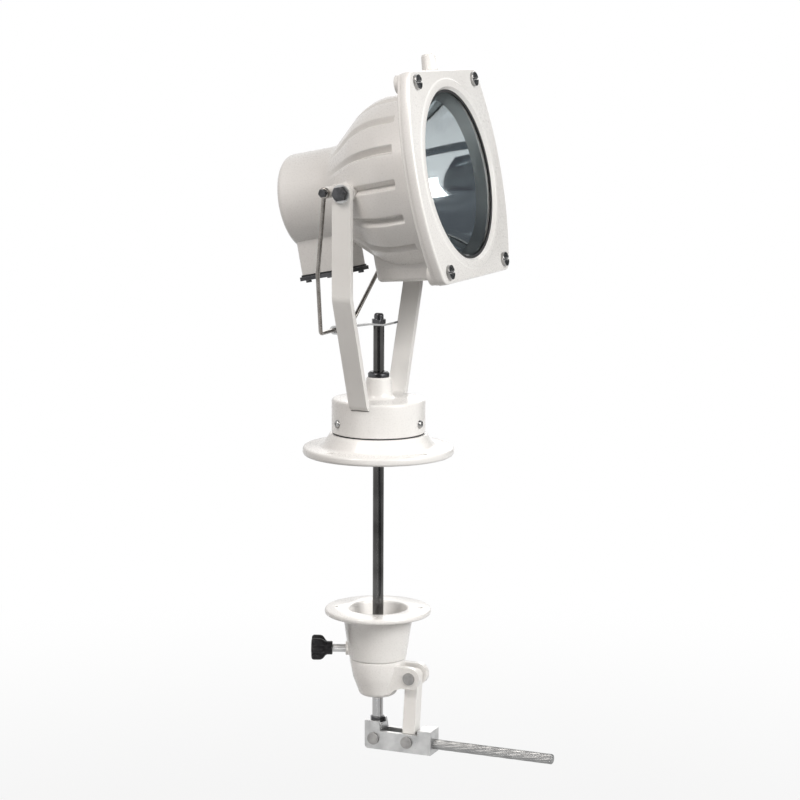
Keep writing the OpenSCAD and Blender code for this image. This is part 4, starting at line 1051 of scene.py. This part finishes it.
def studio_world(strength, colour):
    """A plain surround that lights the part softly, and shows as white."""
    world = bpy.data.worlds.new("studio")
    bpy.context.scene.world = world
    world.use_nodes = True
    nodes, links = world.node_tree.nodes, world.node_tree.links
    nodes.clear()
    lit = nodes.new("ShaderNodeBackground")
    shown = nodes.new("ShaderNodeBackground")
    choice = nodes.new("ShaderNodeMixShader")
    lit.inputs["Color"].default_value = (*colour, 1)
    lit.inputs["Strength"].default_value = strength
    shown.inputs["Color"].default_value = (1, 1, 1, 1)
    links.new(seen_rays(nodes, links), choice.inputs[0])
    links.new(lit.outputs[0], choice.inputs[1])
    links.new(shown.outputs[0], choice.inputs[2])
    links.new(choice.outputs[0], nodes.new("ShaderNodeOutputWorld").inputs[0])


def soft_light(name, place, target, size, watts, colour, spread=180):
    """A square area lamp that faces a point, and shines within a spread of so many degrees."""
    data = bpy.data.lights.new(name, "AREA")
    data.size = size
    data.energy = watts
    data.color = colour
    data.spread = math.radians(spread)
    lamp = bpy.data.objects.new(name, data)
    lamp.location = place
    lamp.rotation_mode = "QUATERNION"
    lamp.rotation_quaternion = (Vector(target) - Vector(place)).to_track_quat("-Z", "Y")
    bpy.context.scene.collection.objects.link(lamp)


def dark_card(name, turn, rise, away, width, height, tone):
    """A dark card in the studio, square to the line from the lamp at the given turn and rise. It shows
    only in gloss and through glass, so that metal and the bowl have something dark to mirror; the camera
    doesn't see it, and it casts no shadow."""
    turn, rise = math.radians(turn), math.radians(rise)
    out = np.array([math.cos(rise) * math.cos(turn), math.cos(rise) * math.sin(turn), math.sin(rise)])
    across = np.array([-math.sin(turn), math.cos(turn), 0])
    upward = np.cross(out, across)
    middle = LAMP_ORIGIN + away * out
    corners = [middle + across * u * width / 2 + upward * v * height / 2 for u, v in SQUARE]
    material, nodes, links = new_material(name)
    glow = nodes.new("ShaderNodeEmission")
    glow.inputs["Color"].default_value = (*tone, 1)
    links.new(glow.outputs[0], nodes["Material Output"].inputs["Surface"])
    card = stage_sheet(name, corners, material)
    card.visible_camera = False
    card.visible_diffuse = False
    card.visible_shadow = False


pale_floor(span=12.0, height=-0.75)
studio_world(strength=0.20, colour=(1.0, 0.985, 0.97))
soft_light("key", (3.1, -0.97, 1.74), (0.1, 0, 0.35), size=1.7, watts=118, colour=(1.0, 0.995, 0.98))
soft_light("fill", (-0.8, -2.25, 2.75), (0, 0, 0.2), size=1.5, watts=60, colour=(1.0, 0.95, 0.91))
soft_light("low", (0.3, -2.2, -0.4), (0, 0, -0.6), size=0.6, watts=0.38, colour=(1.0, 0.98, 0.96), spread=26)
soft_light("rim", (-0.5, 2.8, 1.4), (0, 0, 0.2), size=1.8, watts=20, colour=(1.0, 0.99, 0.98))

for name, turn, rise, away, width, height, tone in (
    ("card_behind_camera", -62, 8, 3.6, 3.6, 3.2, (0.05, 0.055, 0.065)),
    ("card_overhead", -24, 66, 3.6, 5.4, 5.4, (0.12, 0.13, 0.145)),
    ("card_far_side", 66, 2, 4.0, 3.0, 2.2, (0.06, 0.065, 0.07)),
    ("card_low", -25, -26, 2.2, 2.2, 0.36, (0.09, 0.10, 0.11)),
):
    dark_card(name, turn, rise, away, width, height, tone)

azimuth, elevation, roll = (math.radians(a) for a in (23, 8.9, 0.25))
distance, aim_out, aim_up = 3.46, 0.031, 0.079
aim = Vector((aim_out * math.cos(azimuth), aim_out * math.sin(azimuth), aim_up))
back = Vector((
    math.sin(azimuth) * math.cos(elevation),
    -math.cos(azimuth) * math.cos(elevation),
    math.sin(elevation),
))
camera_data = bpy.data.cameras.new("camera")
camera_data.lens = 107.55
camera_data.sensor_width = 36
camera = bpy.data.objects.new("camera", camera_data)
camera.location = aim + distance * back
camera.rotation_mode = "QUATERNION"
camera.rotation_quaternion = (-back).to_track_quat("-Z", "Y") @ Quaternion((0, 0, 1), roll)
bpy.context.scene.collection.objects.link(camera)
bpy.context.scene.camera = camera
bpy.context.scene.view_settings.view_transform = "Standard"
